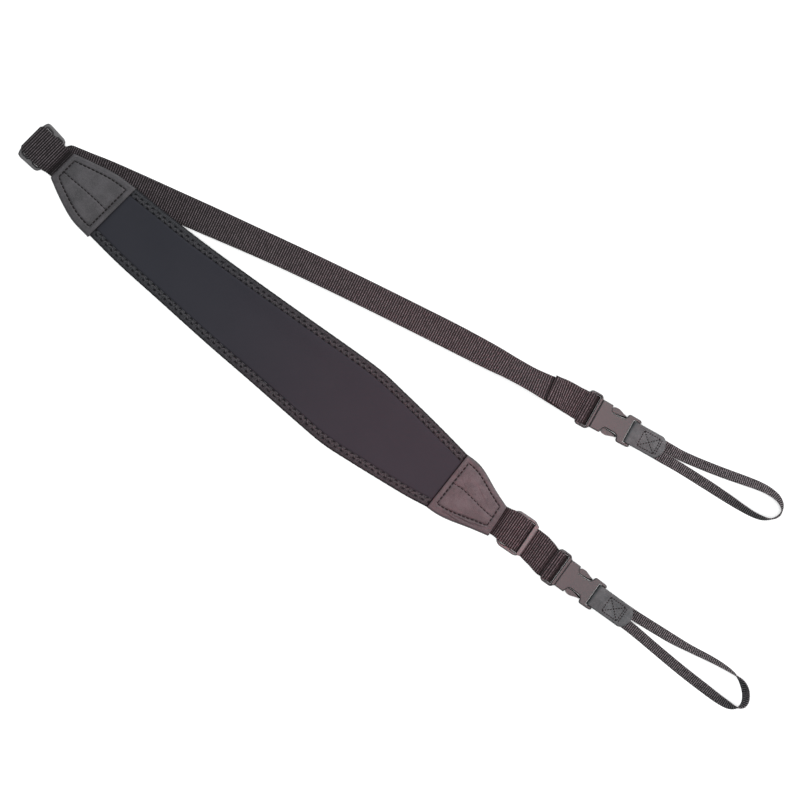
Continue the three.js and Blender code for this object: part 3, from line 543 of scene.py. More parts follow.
def binding_thread(skin, side):
    """A zigzag from hole to hole between two rows, above and below."""
    u, run = edge_run(side)
    holes = np.arange(0, run[-1], ZIGZAG["pitch"] / 2)
    wander = np.random.default_rng(7).uniform(-ZIGZAG["wander"], ZIGZAG["wander"], (2, len(holes)))
    edge, inward, squeeze = binding_frame(np.interp(holes + wander[0], run, u), side)
    row = np.where(np.arange(len(holes)) % 2 == 0, *ZIGZAG["rows"]) + wander[1]
    for face in (1, -1):
        lift = face * (TAPE["height"] / 2 * squeeze - ZIGZAG["sunk"])
        spots = edge + inward * row[:, None] + UP * lift[:, None]
        stitch_row(skin, spots[1:-1], face, ZIGZAG)


def weave_marks(finish):
    """Distances along and across a band, from the map that its skin carries."""
    mark = finish.node("ShaderNodeUVMap", {"uv_map": "weave"})
    along = finish.node("ShaderNodeSeparateXYZ", {}, [mark])
    return along, along.output("Y")


tape = Finish("binding_tape")
along_tape, tape_inset = weave_marks(tape)
tape_place = tape.place()
tape_rib = along_tape.ridges(TAPE_RIB)
tape_fuzz = tape.noise(tape_place, 2.5, 3.0, 0.6)
tape_fleck = tape.noise(tape_place, 0.8, 2.0, 0.7)
astray = tape.noise(tape_place, 0.12, 2.0) * 2.6
pierced = 0
for phase, row in enumerate(ZIGZAG["rows"]):
    along_row = along_tape + astray + phase * ZIGZAG["pitch"] / 2
    hole = tape.crisp(along_row.ridges(ZIGZAG["pitch"]), 0.4, 0.85)
    pierced = hole * (1 - tape.crisp((tape_inset - row).size(), 0.3, 1.4)) + pierced
# painted shade: the outermost millimetre of the tape darkened, where it rounds away from the light; and
# painted shade where it enters the leather
tape_edge_painted_shade = tape.crisp(tape_inset, 0.4, 1.6)
tape_share = (tape_rib * 0.3 + 0.2 + tape.crisp(tape_fleck, 0.36, 0.66) * 0.5) * (1 - pierced)
tape_share = tape_share * (tape_edge_painted_shade * 0.8 + 0.2) * (1 - tape.painted_shade() * 0.85)
tape_material = tape.surface(
    height=tape_rib * 0.4 + tape_fuzz * 0.2 + (1 - pierced) * 0.4, depth_mm=0.16,
    Base_Color=tape.blend(tape_share, (0.003, 0.0035, 0.0042), (0.0292, 0.0316, 0.0344)),
    Roughness=tape.between(tape_fuzz, 0.8, 0.95), Specular_IOR_Level=0.06)


def thread_finish(name, dark, light, shine):
    """Twisted thread, a little uneven along it."""
    sewing = Finish(name)
    twist = sewing.noise(sewing.place(), 4.0, 2.0)
    return sewing.surface(
        height=twist, depth_mm=0.05, Base_Color=sewing.blend(twist, dark, light),
        Roughness=sewing.between(twist, 0.6, 0.8), Specular_IOR_Level=shine)


# The zigzag's black thread is painted paler than the leather's, a painted sheen for the light that it
# catches.
zigzag_material = thread_finish("zigzag_thread_painted_sheen", (0.009, 0.0093, 0.0103), (0.052, 0.0535, 0.058), 0.1)
zigzag_skin = bmesh.new()
for which, side in (("upper", 1), ("lower", -1)):
    finished_piece("edge_tape_" + which, binding_skin(side), tape_material, "stretch_tape",
                   "edge_binding_" + which)
    binding_thread(zigzag_skin, side)
finished_piece("edge_tape_thread", zigzag_skin, zigzag_material, "stretch_tape")

# ------------------------------------------------------------------ leather ends
# Two layers of black grained leather sewn round each end of the pad: a turned edge, a row of
# stitches all round, one down the middle, and the strap's end caught at the narrow side.

# start, length: where it starts and ends along from its mouth. rows, inset: the rows of stitches
# along it, and in from either edge. middle: along and across of the row down the middle.
# wrinkles: along and across of each crease's middle, its length, slant and depth.
# sections: along, across, turn, width and thickness.
LEATHER_ENDS = {
    "fold": {
        "mouth": FOLD_MOUTH, "start": -0.9, "length": 53.6, "rows": (4.0, 49.4), "inset": (6.8, 5.8),
        "middle": [(0, 1.6), (15, 0.7), (28, 0.9), (40, 1.9), (54, 3.0)],
        "wrinkles": (),
        "sections": [(0, 1.0, 0, 54.6, 6.2), (18, 2.1, 0, 51.1, 6), (36, 2.5, 0, 40.4, 5.3),
                     (53.6, 2.3, 0, 27.2, 4.9)],
    },
    "buckle": {
        "mouth": BUCKLE_MOUTH, "start": 0, "length": 51.4, "rows": (4.5, 46.2), "inset": (5.0, 7.4),
        "middle": [(0, 1.2), (13, 2.2), (24, 1.3), (34, 0.4), (52, -0.4)],
        "wrinkles": ((30, -16.5, 17, 14, 0.3), (21, -21, 15, 6, 0.26), (40, -12.6, 12, 20, 0.25),
                     (12, 6, 22, -30, 0.12), (30, 8, 20, -24, 0.12)),
        "sections": [(0, 0, 0, 53.2, 6.2), (9, 0.3, 0, 52.8, 6.2), (19, 0.4, 1, 48.8, 6),
                     (37, -0.2, 3, 36.2, 5.3), (51.4, -0.5, 5, 27.6, 4.9)],
    },
}
LEATHER_WALL = 1.3
# Depths and width of the grooves that the stitches draw, round the edge and down the middle.
GROOVE, MIDDLE_GROOVE, GROOVE_WIDTH = 0.5, 0.34, 0.8
# Height of the lip at the mouth and at the narrow end, how far in it stands, and its width.
MOUTH_LIP, END_LIP = (0.22, 1.5, 1.1), (0.16, 1.4, 1.0)
CREASE, RIDGE, RIDGE_OFF = 0.6, 0.8, 0.9     # widths of a crease and its ridge, and how far apart
ROUNDED, ROUNDED_REACH, SWELL_REACH = 0.84, 1.9, 11    # share of the thickness gained at the edge
# Rows of corners: along it, and across as shares of its half width, between FLAT and at each edge.
LEATHER_ROWS, LEATHER_TOP, LEATHER_UNDER, LEATHER_FLAT = 112, 104, 52, 0.9
LEATHER_EDGE = np.array([1, 0.996, 0.985, 0.965, 0.94, 0.915])
SEAM_STEPS = 60
EDGE_SEWING = {"pitch": 3.6, "share": 0.84, "width": 1.75, "height": 0.6, "proud": 0.12}
MIDDLE_SEWING = {**EDGE_SEWING, "width": 0.95}


def leather_sections(end, along):
    """Offset, turn, width and thickness of a leather end at places along it."""
    rows = smooth_rows(end["sections"], np.linspace(0, 1, 801))
    return [np.interp(along, rows[:, 0], rows[:, k]) for k in range(1, 5)]


def leather_relief(end, along, reach, width):
    """Height above the plain leather: stitch rows draw it down, and its edges stand rounded."""
    left, right = end["inset"]
    first, last = end["rows"]
    inset = np.where(reach > 0, width / 2 - reach - left, width / 2 + reach - right)
    between = ease(first - 1, first, along) * (1 - ease(last, last + 1, along))
    side_rows = hump(inset, GROOVE_WIDTH) * between
    cross_rows = hump(along - first, GROOVE_WIDTH) + hump(along - last, GROOVE_WIDTH)
    middle = np.interp(along, *np.array(end["middle"]).T)
    relief = -GROOVE * side_rows - GROOVE * cross_rows * ease(-0.8, 0.4, inset)
    relief -= MIDDLE_GROOVE * hump(reach - middle, GROOVE_WIDTH) * between
    for from_end, (height, where, wide) in ((along, MOUTH_LIP), (end["length"] - along, END_LIP)):
        relief += height * hump(from_end - where, wide)
    for where, out, length, slant, depth in end["wrinkles"]:
        turn = math.radians(slant)
        run = (along - where) * math.cos(turn) + (reach - out) * math.sin(turn)
        off = (reach - out) * math.cos(turn) - (along - where) * math.sin(turn)
        relief += depth * (hump(off - RIDGE_OFF, RIDGE) - hump(off, CREASE)) * hump(run, length / 2)
    return relief


def leather_spots(end, along, share, face):
    """Places on the top or underside of a leather end; share is -1 to 1 across it."""
    offset, turn, width, thickness = leather_sections(end, along)
    reach = share * width / 2
    inset = width / 2 - np.abs(reach)
    rounded = ROUNDED * np.sqrt(1 - (1 - np.clip(inset / ROUNDED_REACH, 0, 1)) ** 2)
    swell = rounded + (1 - ROUNDED) * ease(ROUNDED_REACH, SWELL_REACH, inset)
    lift = thickness / 2 * swell + leather_relief(end, along, reach, width) * ease(0, 1.6, inset)
    mouth = end["mouth"]
    spots = spot_on(mouth, along, offset) + way(mouth["heading"] + turn)[1] * reach[..., None]
    if face < 0:
        lift = np.minimum(lift, thickness / 2)
    spots[..., 2] = mouth["low"] + thickness / 2 + face * lift
    return spots


def leather_skin(end):
    edge, flat = LEATHER_EDGE, LEATHER_FLAT
    top = np.concatenate([edge, np.linspace(flat, -flat, LEATHER_TOP), -edge[::-1]])
    under = np.concatenate([-edge[1:], np.linspace(-flat, flat, LEATHER_UNDER), edge[::-1]])
    along = np.linspace(end["start"], end["length"], LEATHER_ROWS)
    spots = np.concatenate([leather_spots(end, *np.broadcast_arrays(along[:, None], share), face)
                            for share, face in ((top, 1), (under, -1))], axis=1)
    half_width = leather_sections(end, along)[2][:, None] / 2
    inset = half_width * (1 - np.abs(np.concatenate([top, under])))
    inset = np.minimum(inset, np.minimum(along - end["start"], end["length"] - along)[:, None])
    skin = rolled_skin(spots, np.stack(np.broadcast_arrays(along[:, None], inset), axis=-1))
    bmesh.ops.recalc_face_normals(skin, faces=skin.faces)
    bmesh.ops.solidify(skin, geom=skin.faces[:], thickness=LEATHER_WALL / 1000)
    return skin


def sew_line(skin, end, face, along, share, thread):
    """A row of stitches through places given along and across the leather."""
    spots = leather_spots(end, along, share, face)
    run = run_along(spots)
    holes = np.linspace(0, run[-1], max(2, round(run[-1] / thread["pitch"])) + 1)
    spots = np.stack([np.interp(holes, run, spots[:, k]) for k in range(3)], axis=1)
    spots[:, 2] += face * thread["proud"]
    stitch_row(skin, spots, face, thread)


def sew_leather(skin, end):
    first, last = end["rows"]
    left, right = end["inset"]
    steps = np.linspace(0, 1, SEAM_STEPS)
    along = first + (last - first) * steps
    half = leather_sections(end, along)[2] / 2
    middle = np.interp(along, *np.array(end["middle"]).T)
    for face in (1, -1):
        sew_line(skin, end, face, along, (half - left) / half, EDGE_SEWING)
        sew_line(skin, end, face, along, -(half - right) / half, EDGE_SEWING)
        sew_line(skin, end, face, along, middle / half, MIDDLE_SEWING)
        for row, wide in ((first, half[0]), (last, half[-1])):
            ends = (wide - left) / wide, -(wide - right) / wide
            share = ends[0] + (ends[1] - ends[0]) * steps
            sew_line(skin, end, face, np.full(SEAM_STEPS, row), share, EDGE_SEWING)


def leather_finish(name, dark, light, edge_from=None):
    """Grained leather: small cells with fine creases between them, mottled, with a darker band near
    its edges that varies at random, and painted shade darkening the outermost edge where it rounds
    away. The map gives the distance from the edge, or across from a middle edge_from away."""
    hide = Finish(name)
    _, edge = weave_marks(hide)
    if edge_from is not None:
        edge = edge_from - edge.size()
    lip = hide.crisp(edge, 0.5, 1.5) * (1 - hide.crisp(edge, 3.2, 5.2))
    sewn_down = hide.crisp(edge, 3.4, 5.4) * (1 - hide.crisp(edge, 6.4, 9))
    spot = hide.place()
    bend = hide.scaled(hide.noise(spot, 0.9, 2.0).output("Color"), 0.5)
    pushed = hide.node("ShaderNodeVectorMath", {"operation": "ADD"}, [spot, bend])
    cells = hide.node("ShaderNodeTexVoronoi", {"feature": "DISTANCE_TO_EDGE"}, {
        "Vector": pushed, "Scale": 1.15})
    grain = hide.crisp(cells, 0.0, 0.22)
    mottle = hide.noise(spot, 0.09, 3.0, 0.6)
    fine = hide.noise(spot, 3.5, 2.0)
    worn = hide.noise(spot, 0.35, 4.0, 0.65)
    share = grain * 0.34 + hide.crisp(mottle, 0.34, 0.66) * 0.36 + lip * (worn * 0.35 - 0.26)
    # painted shade: the outermost 2 mm darkened, where the edge rounds away from the light
    share = (share - sewn_down * 0.12) * (hide.crisp(edge, -0.3, 1.7) * 0.75 + 0.25)
    return hide.surface(
        height=grain * 0.7 + fine * 0.3, depth_mm=0.08, Base_Color=hide.blend(share, dark, light),
        Roughness=hide.between(worn * 0.6 + (1 - grain) * 0.4, 0.44, 0.66), Specular_IOR_Level=0.3)


leather_material = leather_finish("sleeve_leather", (0.0104, 0.0107, 0.0123), (0.0412, 0.0398, 0.0447))
thread_material = thread_finish("black_thread", (0.0022, 0.002, 0.0022), (0.005, 0.0046, 0.005), 0.12)
leather_thread_skin = bmesh.new()
for name, end in LEATHER_ENDS.items():
    finished_piece("leather_sleeve_" + name, leather_skin(end), leather_material, "leather",
                   "leather_end_" + name)
    sew_leather(leather_thread_skin, end)
finished_piece("leather_thread", leather_thread_skin, thread_material, "leather")

# ------------------------------------------------------------------ sliders and buckles
# Injection-moulded black acetal: two side-release buckles and two three-bar sliders, which are
# painted a little paler, a painted highlight for the light on them. Each is its solid with every
# edge rounded off, as the mould leaves it, and a fine matt texture.

# Each one's own origin, at the middle of a buckle's open end and of a slider, and its heading.
UPPER_BUCKLE = {"x": 125.8, "y": 60.2, "heading": 3}
LOWER_BUCKLE = {"x": 170.6, "y": -60.3, "heading": -3.8}
FOLD_SLIDER = {"x": -348.8, "y": 6.1, "heading": -13}
SHORT_SLIDER = {"x": 135.8, "y": -53.9, "heading": -2.5}
MOULDED = {
    "fold_slider": ("slider_at_fold", FOLD_SLIDER),
    "short_slider": ("slider_at_pad", SHORT_SLIDER),
    "upper_male_buckle": ("upper_buckle_prongs", UPPER_BUCKLE),
    "upper_female_buckle": ("upper_buckle_body", UPPER_BUCKLE),
    "lower_male_buckle": ("lower_buckle_prongs", LOWER_BUCKLE),
    "lower_female_buckle": ("lower_buckle_body", LOWER_BUCKLE),
}
ROUND_OFF = {"slider": 0.55, "buckle": 0.3}
SHARP, MERGED, FLAT = math.radians(28), 2e-6, math.radians(1)

# The prongs' arms begin so far out, and their tips bend in from here along.
ARM_FROM, TIPS_BEND, BENT_IN = (8.9, 10.2), (26, 33), 1.3
# Low down, the web between them is spread to fill the body's windows: inwards, more so at the
# tips, and on; there it is painted near black as painted shade.
WEB_START, WEB_TOP = 20, 3.5
DRAWN_IN, TIP_DRAWN_IN, TIP_STARTS, TIP_ENDS = 0.55, 0.5, (28, 33), (33.6, 34.8)
ONWARDS, ONWARDS_FROM = 1.2, (29.5, 34.6)

# The fold slider's side rails swell outwards round the webbing, more so at its far end, and its
# far corners are squarer: how far, between which distances across, and along towards that end.
RAIL = {"swell": 0.9, "far_swell": 0.9, "across": (13.9, 15.2), "along": (1, 9)}
CORNER = {"reach": 1.5, "across": (10.5, 14.5), "along": (5, 9)}

# Bars whose tops show beside the webbing: the short slider's last bar, and the edge of each
# buckle's latch plate. Place along, length, width, lowest, highest and rounding.
BARS = {
    "short_slider": (10.0, 3.5, 28.6, 3.0, 4.8, 0.5),
    "upper_male_buckle": (11.4, 2.3, 26, 3.2, 5.9, 0.6),
    "lower_male_buckle": (11.5, 2.5, 26, 3.2, 5.9, 0.5),
}


def off_origin(group, spots):
    """How far places lie along, across and above the origin of a slider or buckle, in mm."""
    off = spots - np.array([group["x"], group["y"], 0])
    forward, sideways = way(group["heading"])
    return off @ forward, off @ sideways, off[..., 2]


def corners_off(group, skin):
    """Each corner of a skin, and how far it lies along, across and above a group's origin."""
    spots = np.array([corner.co for corner in skin.verts]) * 1000 - LIE
    return zip(skin.verts, *off_origin(group, spots))


def fill_windows(skin, buckle):
    """Bends the arms' tips in, and spreads the web low down under them to fill the windows, painted near
    black as painted shade.
    """
    forward, sideways = way(buckle["heading"])
    painted_shade_layer = skin.verts.layers.float.new("painted_shade")
    for corner, along, across, z in corners_off(buckle, skin):
        arm = ease(*ARM_FROM, abs(across))
        inwards, onwards = BENT_IN * ease(*TIPS_BEND, along) * arm, 0
        if along > WEB_START and z < WEB_TOP:
            at_tip = ease(*TIP_STARTS, along) * (1 - ease(*TIP_ENDS, along))
            inwards += (1 - arm) * (DRAWN_IN + TIP_DRAWN_IN * at_tip)
            onwards = ONWARDS * ease(*ONWARDS_FROM, along)
            corner[painted_shade_layer] = max(1 - arm, ease(*ONWARDS_FROM, along))
        corner.co += Vector(forward * onwards - sideways * math.copysign(inwards, across)) / 1000


def widen_rails(skin, slider):
    forward, sideways = way(slider["heading"])
    for corner, along, across, _ in corners_off(slider, skin):
        swell = RAIL["swell"] + RAIL["far_swell"] * ease(*RAIL["along"], -along)
        swell *= ease(*RAIL["across"], abs(across))
        squared = CORNER["reach"] * ease(*CORNER["across"], abs(across)) * ease(*CORNER["along"], -along)
        corner.co += Vector(sideways * math.copysign(swell, across) - forward * squared) / 1000


def round_off(skin, edges, radius):
    bmesh.ops.bevel(skin, geom=edges, offset=radius / 1000, offset_type="OFFSET", segments=3, profile=0.5,
                    affect="EDGES", material=-1, clamp_overlap=True)


def add_bar(skin, group, along, length, width, low, high, rounding):
    axes = Matrix((*way(group["heading"]), UP)).transposed().to_4x4()
    size = Matrix.Diagonal((length / 1000, width / 1000, (high - low) / 1000, 1))
    spot = Matrix.Translation(Vector(spot_on(group, along, z=(low + high) / 2) + LIE) / 1000)
    bar = bmesh.new()
    bmesh.ops.create_cube(bar, size=1, matrix=spot @ axes @ size)
    round_off(bar, bar.edges[:], rounding)
    join_in(skin, bar)


def moulded_skin(node, group):
    skin = bmesh.new()
    skin.from_mesh(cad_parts[node].data)
    bmesh.ops.remove_doubles(skin, verts=skin.verts, dist=MERGED)
    bmesh.ops.dissolve_limit(skin, angle_limit=FLAT, verts=skin.verts, edges=skin.edges)
    if node.endswith("_male_buckle"):
        fill_windows(skin, group)
    if node == "fold_slider":
        widen_rails(skin, group)
    sharp = [edge for edge in skin.edges if len(edge.link_faces) == 2 and edge.calc_face_angle() > SHARP]
    round_off(skin, sharp, ROUND_OFF[node.split("_")[-1]])
    if node in BARS:
        add_bar(skin, group, *BARS[node])
    return skin


def acetal_finish(name, dark, light, shine):
    """Black acetal with a fine matt texture, scuffed here and there, and painted near black as painted shade
    where its skin marks it.
    """
    acetal = Finish(name)
    spot = acetal.place()
    spark = acetal.noise(spot, 3.2, 3.0, 0.6)
    scuff = acetal.noise(spot, 0.3, 4.0, 0.7)
    plain = acetal.blend(scuff, dark, light)
    return acetal.surface(
        height=spark, depth_mm=0.03,
        Base_Color=acetal.blend(acetal.painted_shade() * 0.95, plain, (0.0005, 0.0005, 0.0005)),
        Roughness=acetal.between(scuff * 0.7 + spark * 0.3, 0.36, 0.54), Specular_IOR_Level=shine)


# The sliders' acetal is painted paler than the buckles', a painted highlight for the light on their rails
# and bars.
ACETAL = {
    "buckle": acetal_finish("moulded_acetal", (0.009, 0.0087, 0.0097), (0.016, 0.0154, 0.017), 0.36),
    "slider": acetal_finish("slider_acetal_painted_highlight", (0.0205, 0.02, 0.0215), (0.042, 0.041, 0.0435), 0.42),
}
for node, (name, group) in MOULDED.items():
    acetal = ACETAL[node.split("_")[-1]]
    piece = finished_piece(name, moulded_skin(node, group), acetal, "moulded_plastic", node)
    piece.data.set_sharp_from_angle(angle=math.radians(40))
    flat_faces = piece.modifiers.new("flat_faces", "WEIGHTED_NORMAL")
    flat_faces.keep_sharp = True

# ------------------------------------------------------------------ long strap
# Ribbed 1 inch webbing. Its end is sewn into the fold's leather; it laces over and under the
# slider, runs back past the pad on its raised edge, and doubles round the upper buckle's bar.

WEB = {"thickness": 1.5, "pitch": 1.9, "rib": 0.27, "width": 25.8}

# At a slider or buckle: along, height and, where they differ from the plain band's, sideways, width
# and roll. From the leather over the fold slider to its far bar, and back under and over its bars.
FOLD_OVER = [
    (44, 4.35, 1.7), (34, 4.35, 1.7), (22.6, 4.35, 1.6), (21, 3.9, 1.5), (19.4, 3.1, 1.4), (17.7, 2.75, 1.2),
    (16, 3.3, 1.1, 26), (14.4, 4.6, 0.9, 26.4), (12.7, 5.6, 0.7, 27), (9, 6.1, 0.4, 27.7),
    (4, 6.3, 0.2, 27.8), (0, 6.35, 0, 27.8), (-5.5, 6.1, 0, 27.6),
]
FOLD_BACK = [
    (-8.3, 0.85), (-6.6, 1.5), (-4.5, 3), (-2.6, 4.2, 0.1), (0, 4.5, 0.15), (2.6, 4.2, 0.2), (4.5, 3, 0.3),
    (6.6, 1.5, 0.35), (8.3, 0.9, 0.5), (11.4, 0.75, 0.9),
]
# Half a turn round the far bar, where the band is drawn in: angle and width.
FAR_BAR = {"along": -10.45, "radius": 2.45, "height": 3.25}
FOLD_TURN = [(90, 27), (67, 26.2), (45, 24.8), (22, 23), (0, 22), (-22, 22.6), (-45, 24), (-67, 25.2),
             (-90, 25.8)]
# x, y, heading, roll and width of the run back past the pad, resting on the table.
LONG_RUN = [
    (-330, 7.7, 2, 0, 25.8), (-321.5, 9.4, 8, 0, 25.6), (-311, 11.4, 11, 0, 25.2),
    (-296, 14.3, 10, 0, 25), (-277, 17.2, 8, 0, 24.8), (-253, 20.6, 7.5, 0, 24.6),
    (-232, 23.5, 7.6, 0, 24.4), (-214, 26.1, 7.6, -4, 24.2), (-196, 28.6, 7.6, -12, 24.2),
    (-170, 32.2, 7.6, -19, 24.2), (-135.2, 36.8, 7, -23, 24.2), (-82, 42.8, 6, -24, 24.2),
    (-29, 48.1, 5.3, -24, 24.2), (10, 51.7, 4.6, -24, 24.2), (42.6, 54.2, 4, -30, 24.2),
    (62, 55.5, 4, -38, 24), (80, 56.5, 4.2, -39, 24), (96, 57.7, 4.8, -30, 24.2),
    (110, 59, 4.8, -16, 24.4),
]
# In under the upper buckle's bar, round it into its slot (both buckles), and back over the run.
BUCKLE_IN = [(-7, 1.7, 0, 24.8, -4), (-3, 0.9, 0, 25.2), (0.5, 0.75, 0, 25.2)]
BUCKLE_TURN = [(0.5, 5.2), (1.8, 5.85), (3.4, 6.0), (4.9, 5.75), (6.0, 4.7), (6.5, 3.4), (7.3, 2.55),
               (8.5, 2.4), (9.15, 2.05), (9.4, 1.6), (9.2, 1.15), (8.5, 0.77), (7, 0.75), (3.5, 0.75)]
BUCKLE_BACK = [(-0.9, 4.3, 0, 25.2), (-3, 3.6, 0, 25.2), (-6, 4.4, 0, 24.8, 4)]
SLOT_WIDTH = 26.3
# The end lies this high and this far aside on the run; x, y, heading, roll and extra lift.
TAIL_LIFT, TAIL_ASIDE = 2.0, 0.6
TAIL = [(102.5, 58.3, 4.8, -24, 0), (97.3, 57.8, 7, -29, 0.3)]

# Painted shade, for a fold that the band lies in: the fold's place along its slider or buckle, its reach,
# and between which heights the band is in it.
LONG_PAINTED_SHADE = [(FOLD_SLIDER, 17.6, 2.9, 1.9, 4.5), (UPPER_BUCKLE, 8.2, 2.6, -1, 4.6),
              (UPPER_BUCKLE, -29.4, 1.0, -9, 50)]
# how far in mm the painted shade fades above and below those heights
PAINTED_SHADE_FADE = 0.5
PLAIN_STEP = 0.55            # from corner to corner along a band that has no ribs


def group_row(group, along, z, sideways=0.0, width=WEB["width"], roll=0.0):
    """A band's section at a slider or buckle: x, y, z, heading, roll and width."""
    return (*spot_on(group, along, sideways, z), group["heading"], roll, width)


def group_rows(group, table, **same):
    return [group_row(group, *row, **same) for row in table]


def fold_turn():
    """Half a turn round the fold slider's far bar, from above to below it."""
    for degrees, width in FOLD_TURN:
        angle = math.radians(degrees)
        yield group_row(FOLD_SLIDER, FAR_BAR["along"] - FAR_BAR["radius"] * math.cos(angle),
                        FAR_BAR["height"] + FAR_BAR["radius"] * math.sin(angle), width=width)


def table_row(web, x, y, heading, roll, width, lift=0.0):
    """A section of a band that rests on the table, rolled onto one edge, or lies so far above."""
    turn = math.radians(roll)
    rest = width / 2 * abs(math.sin(turn)) + web["thickness"] / 2 * abs(math.cos(turn))
    return (x, y, lift + rest, heading, roll, width)


def doubled_row(x, y, z, heading, roll, width, extra=0.0):
    """The same section a layer higher, for the end of the strap that runs back on itself."""
    turn, lift = math.radians(roll), TAIL_LIFT + extra
    out = TAIL_ASIDE * math.cos(turn) - lift * math.sin(turn)
    aside = way(heading)[1] * out
    return (x + aside[0], y + aside[1], z + lift * math.cos(turn) + TAIL_ASIDE * math.sin(turn),
            heading, -roll, width)


def long_strap_rows():
    run = [table_row(WEB, *row) for row in LONG_RUN]
    _, _, z, _, _, width = run[-2]
    rows = [*group_rows(FOLD_SLIDER, FOLD_OVER), *fold_turn(), *group_rows(FOLD_SLIDER, FOLD_BACK), *run]
    rows += group_rows(UPPER_BUCKLE, BUCKLE_IN)
    rows += group_rows(UPPER_BUCKLE, BUCKLE_TURN[::-1], width=SLOT_WIDTH)
    rows += [*group_rows(UPPER_BUCKLE, BUCKLE_BACK), doubled_row(*run[-1])]
    return rows + [doubled_row(x, y, z, heading, roll, width, extra) for x, y, heading, roll, extra in TAIL]


def band_sections(rows, u):
    """Middle, side, face and width of a band at u; one that drifts sideways is sheared."""
    nudge = 1e-4
    middle = smooth_rows(rows[:, :3], u, True)
    along = smooth_rows(rows[:, :3], u + nudge, True) - smooth_rows(rows[:, :3], u - nudge, True)
    heading, roll, width = smooth_rows(rows[:, 3:], u).T
    side = way(heading)[1]
    along -= side * np.sum(along * side, axis=1, keepdims=True)
    along /= np.linalg.norm(along, axis=1, keepdims=True)
    turn = np.radians(roll)[:, None]
    side = side * np.cos(turn) + np.cross(along, side) * np.sin(turn)
    return middle, side, np.cross(along, side), width


def band_outline(across_steps, edge_steps=4):
    """Round a band in section: where its core line is, -1 to 1, and the way out from it."""
    flat = np.linspace(1, -1, across_steps + 1)
    turn = np.linspace(90, 270, edge_steps + 1)[1:-1]
    core = np.concatenate([flat, -np.ones(len(turn)), -flat, np.ones(len(turn)), flat[:1]])
    level = np.full(len(flat), 90)
    angle = np.radians(np.concatenate([level, turn, level + 180, turn + 180, level[:1]]))
    return core, np.cos(angle), np.sin(angle)


def painted_fold_shade(middle, painted_shade_spots):
    """The shade painted on a band at places along it, from 0 to 1, for how deep in a fold it lies."""
    depth = np.zeros(len(middle))
    for group, where, reach, low, high in painted_shade_spots:
        along, _, z = off_origin(group, middle)
        level = ease(low - PAINTED_SHADE_FADE, low + PAINTED_SHADE_FADE, z) * (1 - ease(high - PAINTED_SHADE_FADE, high + PAINTED_SHADE_FADE, z))
        depth = np.maximum(depth, hump(along - where, reach) * level)
    return depth


def band_skin(rows, web, painted_shade_spots=(), steps=4, across_steps=10, width_at=None):
    """A woven band with its ribs across it, or a plain strip where web has no pitch."""
    rows, half, pitch = np.asarray(rows, float), web["thickness"] / 2, web.get("pitch")
    dense = np.linspace(0, 1, 8001)
    run = run_along(smooth_rows(rows[:, :3], dense, True))
    count = round(run[-1] / pitch) * steps if pitch else round(run[-1] / PLAIN_STEP)
    distance = np.linspace(0, run[-1], count + 1)
    middle, side, face, width = band_sections(rows, np.interp(distance, run, dense))
    if width_at is not None:
        width = width_at(middle)
    phase = np.arange(count + 1) / steps
    ridge = web.get("rib", 0) * (np.cos(2 * np.pi * phase) - 1) / 2
    core, out_side, out_up = band_outline(across_steps)
    radius = (half + ridge)[:, None]
    across = core * (width / 2 - half)[:, None] + out_side * radius
    spots = swept(middle, side, face[:, None, :], across, out_up * radius)
    marks = np.stack(np.broadcast_arrays(phase[:, None] * (pitch or 1), across), axis=-1)
    skin = rolled_skin(spots, marks, painted_fold_shade(middle, painted_shade_spots))
    close_ends(skin)
    return skin


def webbing_finish(name, pitch, yarn, dark, light):
    """Woven webbing: ribs across it, made of yarn after yarn that dip between the picks, with
    painted shade dark in the valleys between ribs and between yarns, and in folds.
    """
    woven = Finish(name)
    along, across = weave_marks(woven)
    rib, bundle = along.ridges(pitch), across.ridges(yarn)
    fibre = woven.noise(woven.place(), 2.6, 3.0, 0.65)
    fleck = woven.noise(woven.place(), 0.8, 2.0, 0.7)
    # painted shade: near black in each valley between ribs, darker between yarns, and darker still where the
    # band lies in a fold
    rib_shade_painted = woven.crisp(rib, 0.28, 0.85) * (bundle * 0.45 + 0.55)
    share = rib_shade_painted * (woven.crisp(fleck, 0.3, 0.68) * 0.75 + 0.25) * (1 - woven.painted_shade() * 0.85)
    return woven.surface(
        height=rib * 0.5 + bundle * 0.3 + fibre * 0.2, depth_mm=0.2,
        Base_Color=woven.blend(share, dark, light),
        Roughness=woven.between(fibre, 0.7, 0.9), Specular_IOR_Level=0.06)


webbing_material = webbing_finish("ribbed_webbing", WEB["pitch"], 1.6, (0.004, 0.0037, 0.0039),
                                  (0.077, 0.0685, 0.0735))
finished_piece("long_webbing", band_skin(long_strap_rows(), WEB, LONG_PAINTED_SHADE), webbing_material, "webbing",
               "long_strap")

# ------------------------------------------------------------------ short strap
# The same webbing from the pad's buckle end: out of the leather, over the slider's first two
# bars, under its last one, and doubled round the bar of the lower buckle.

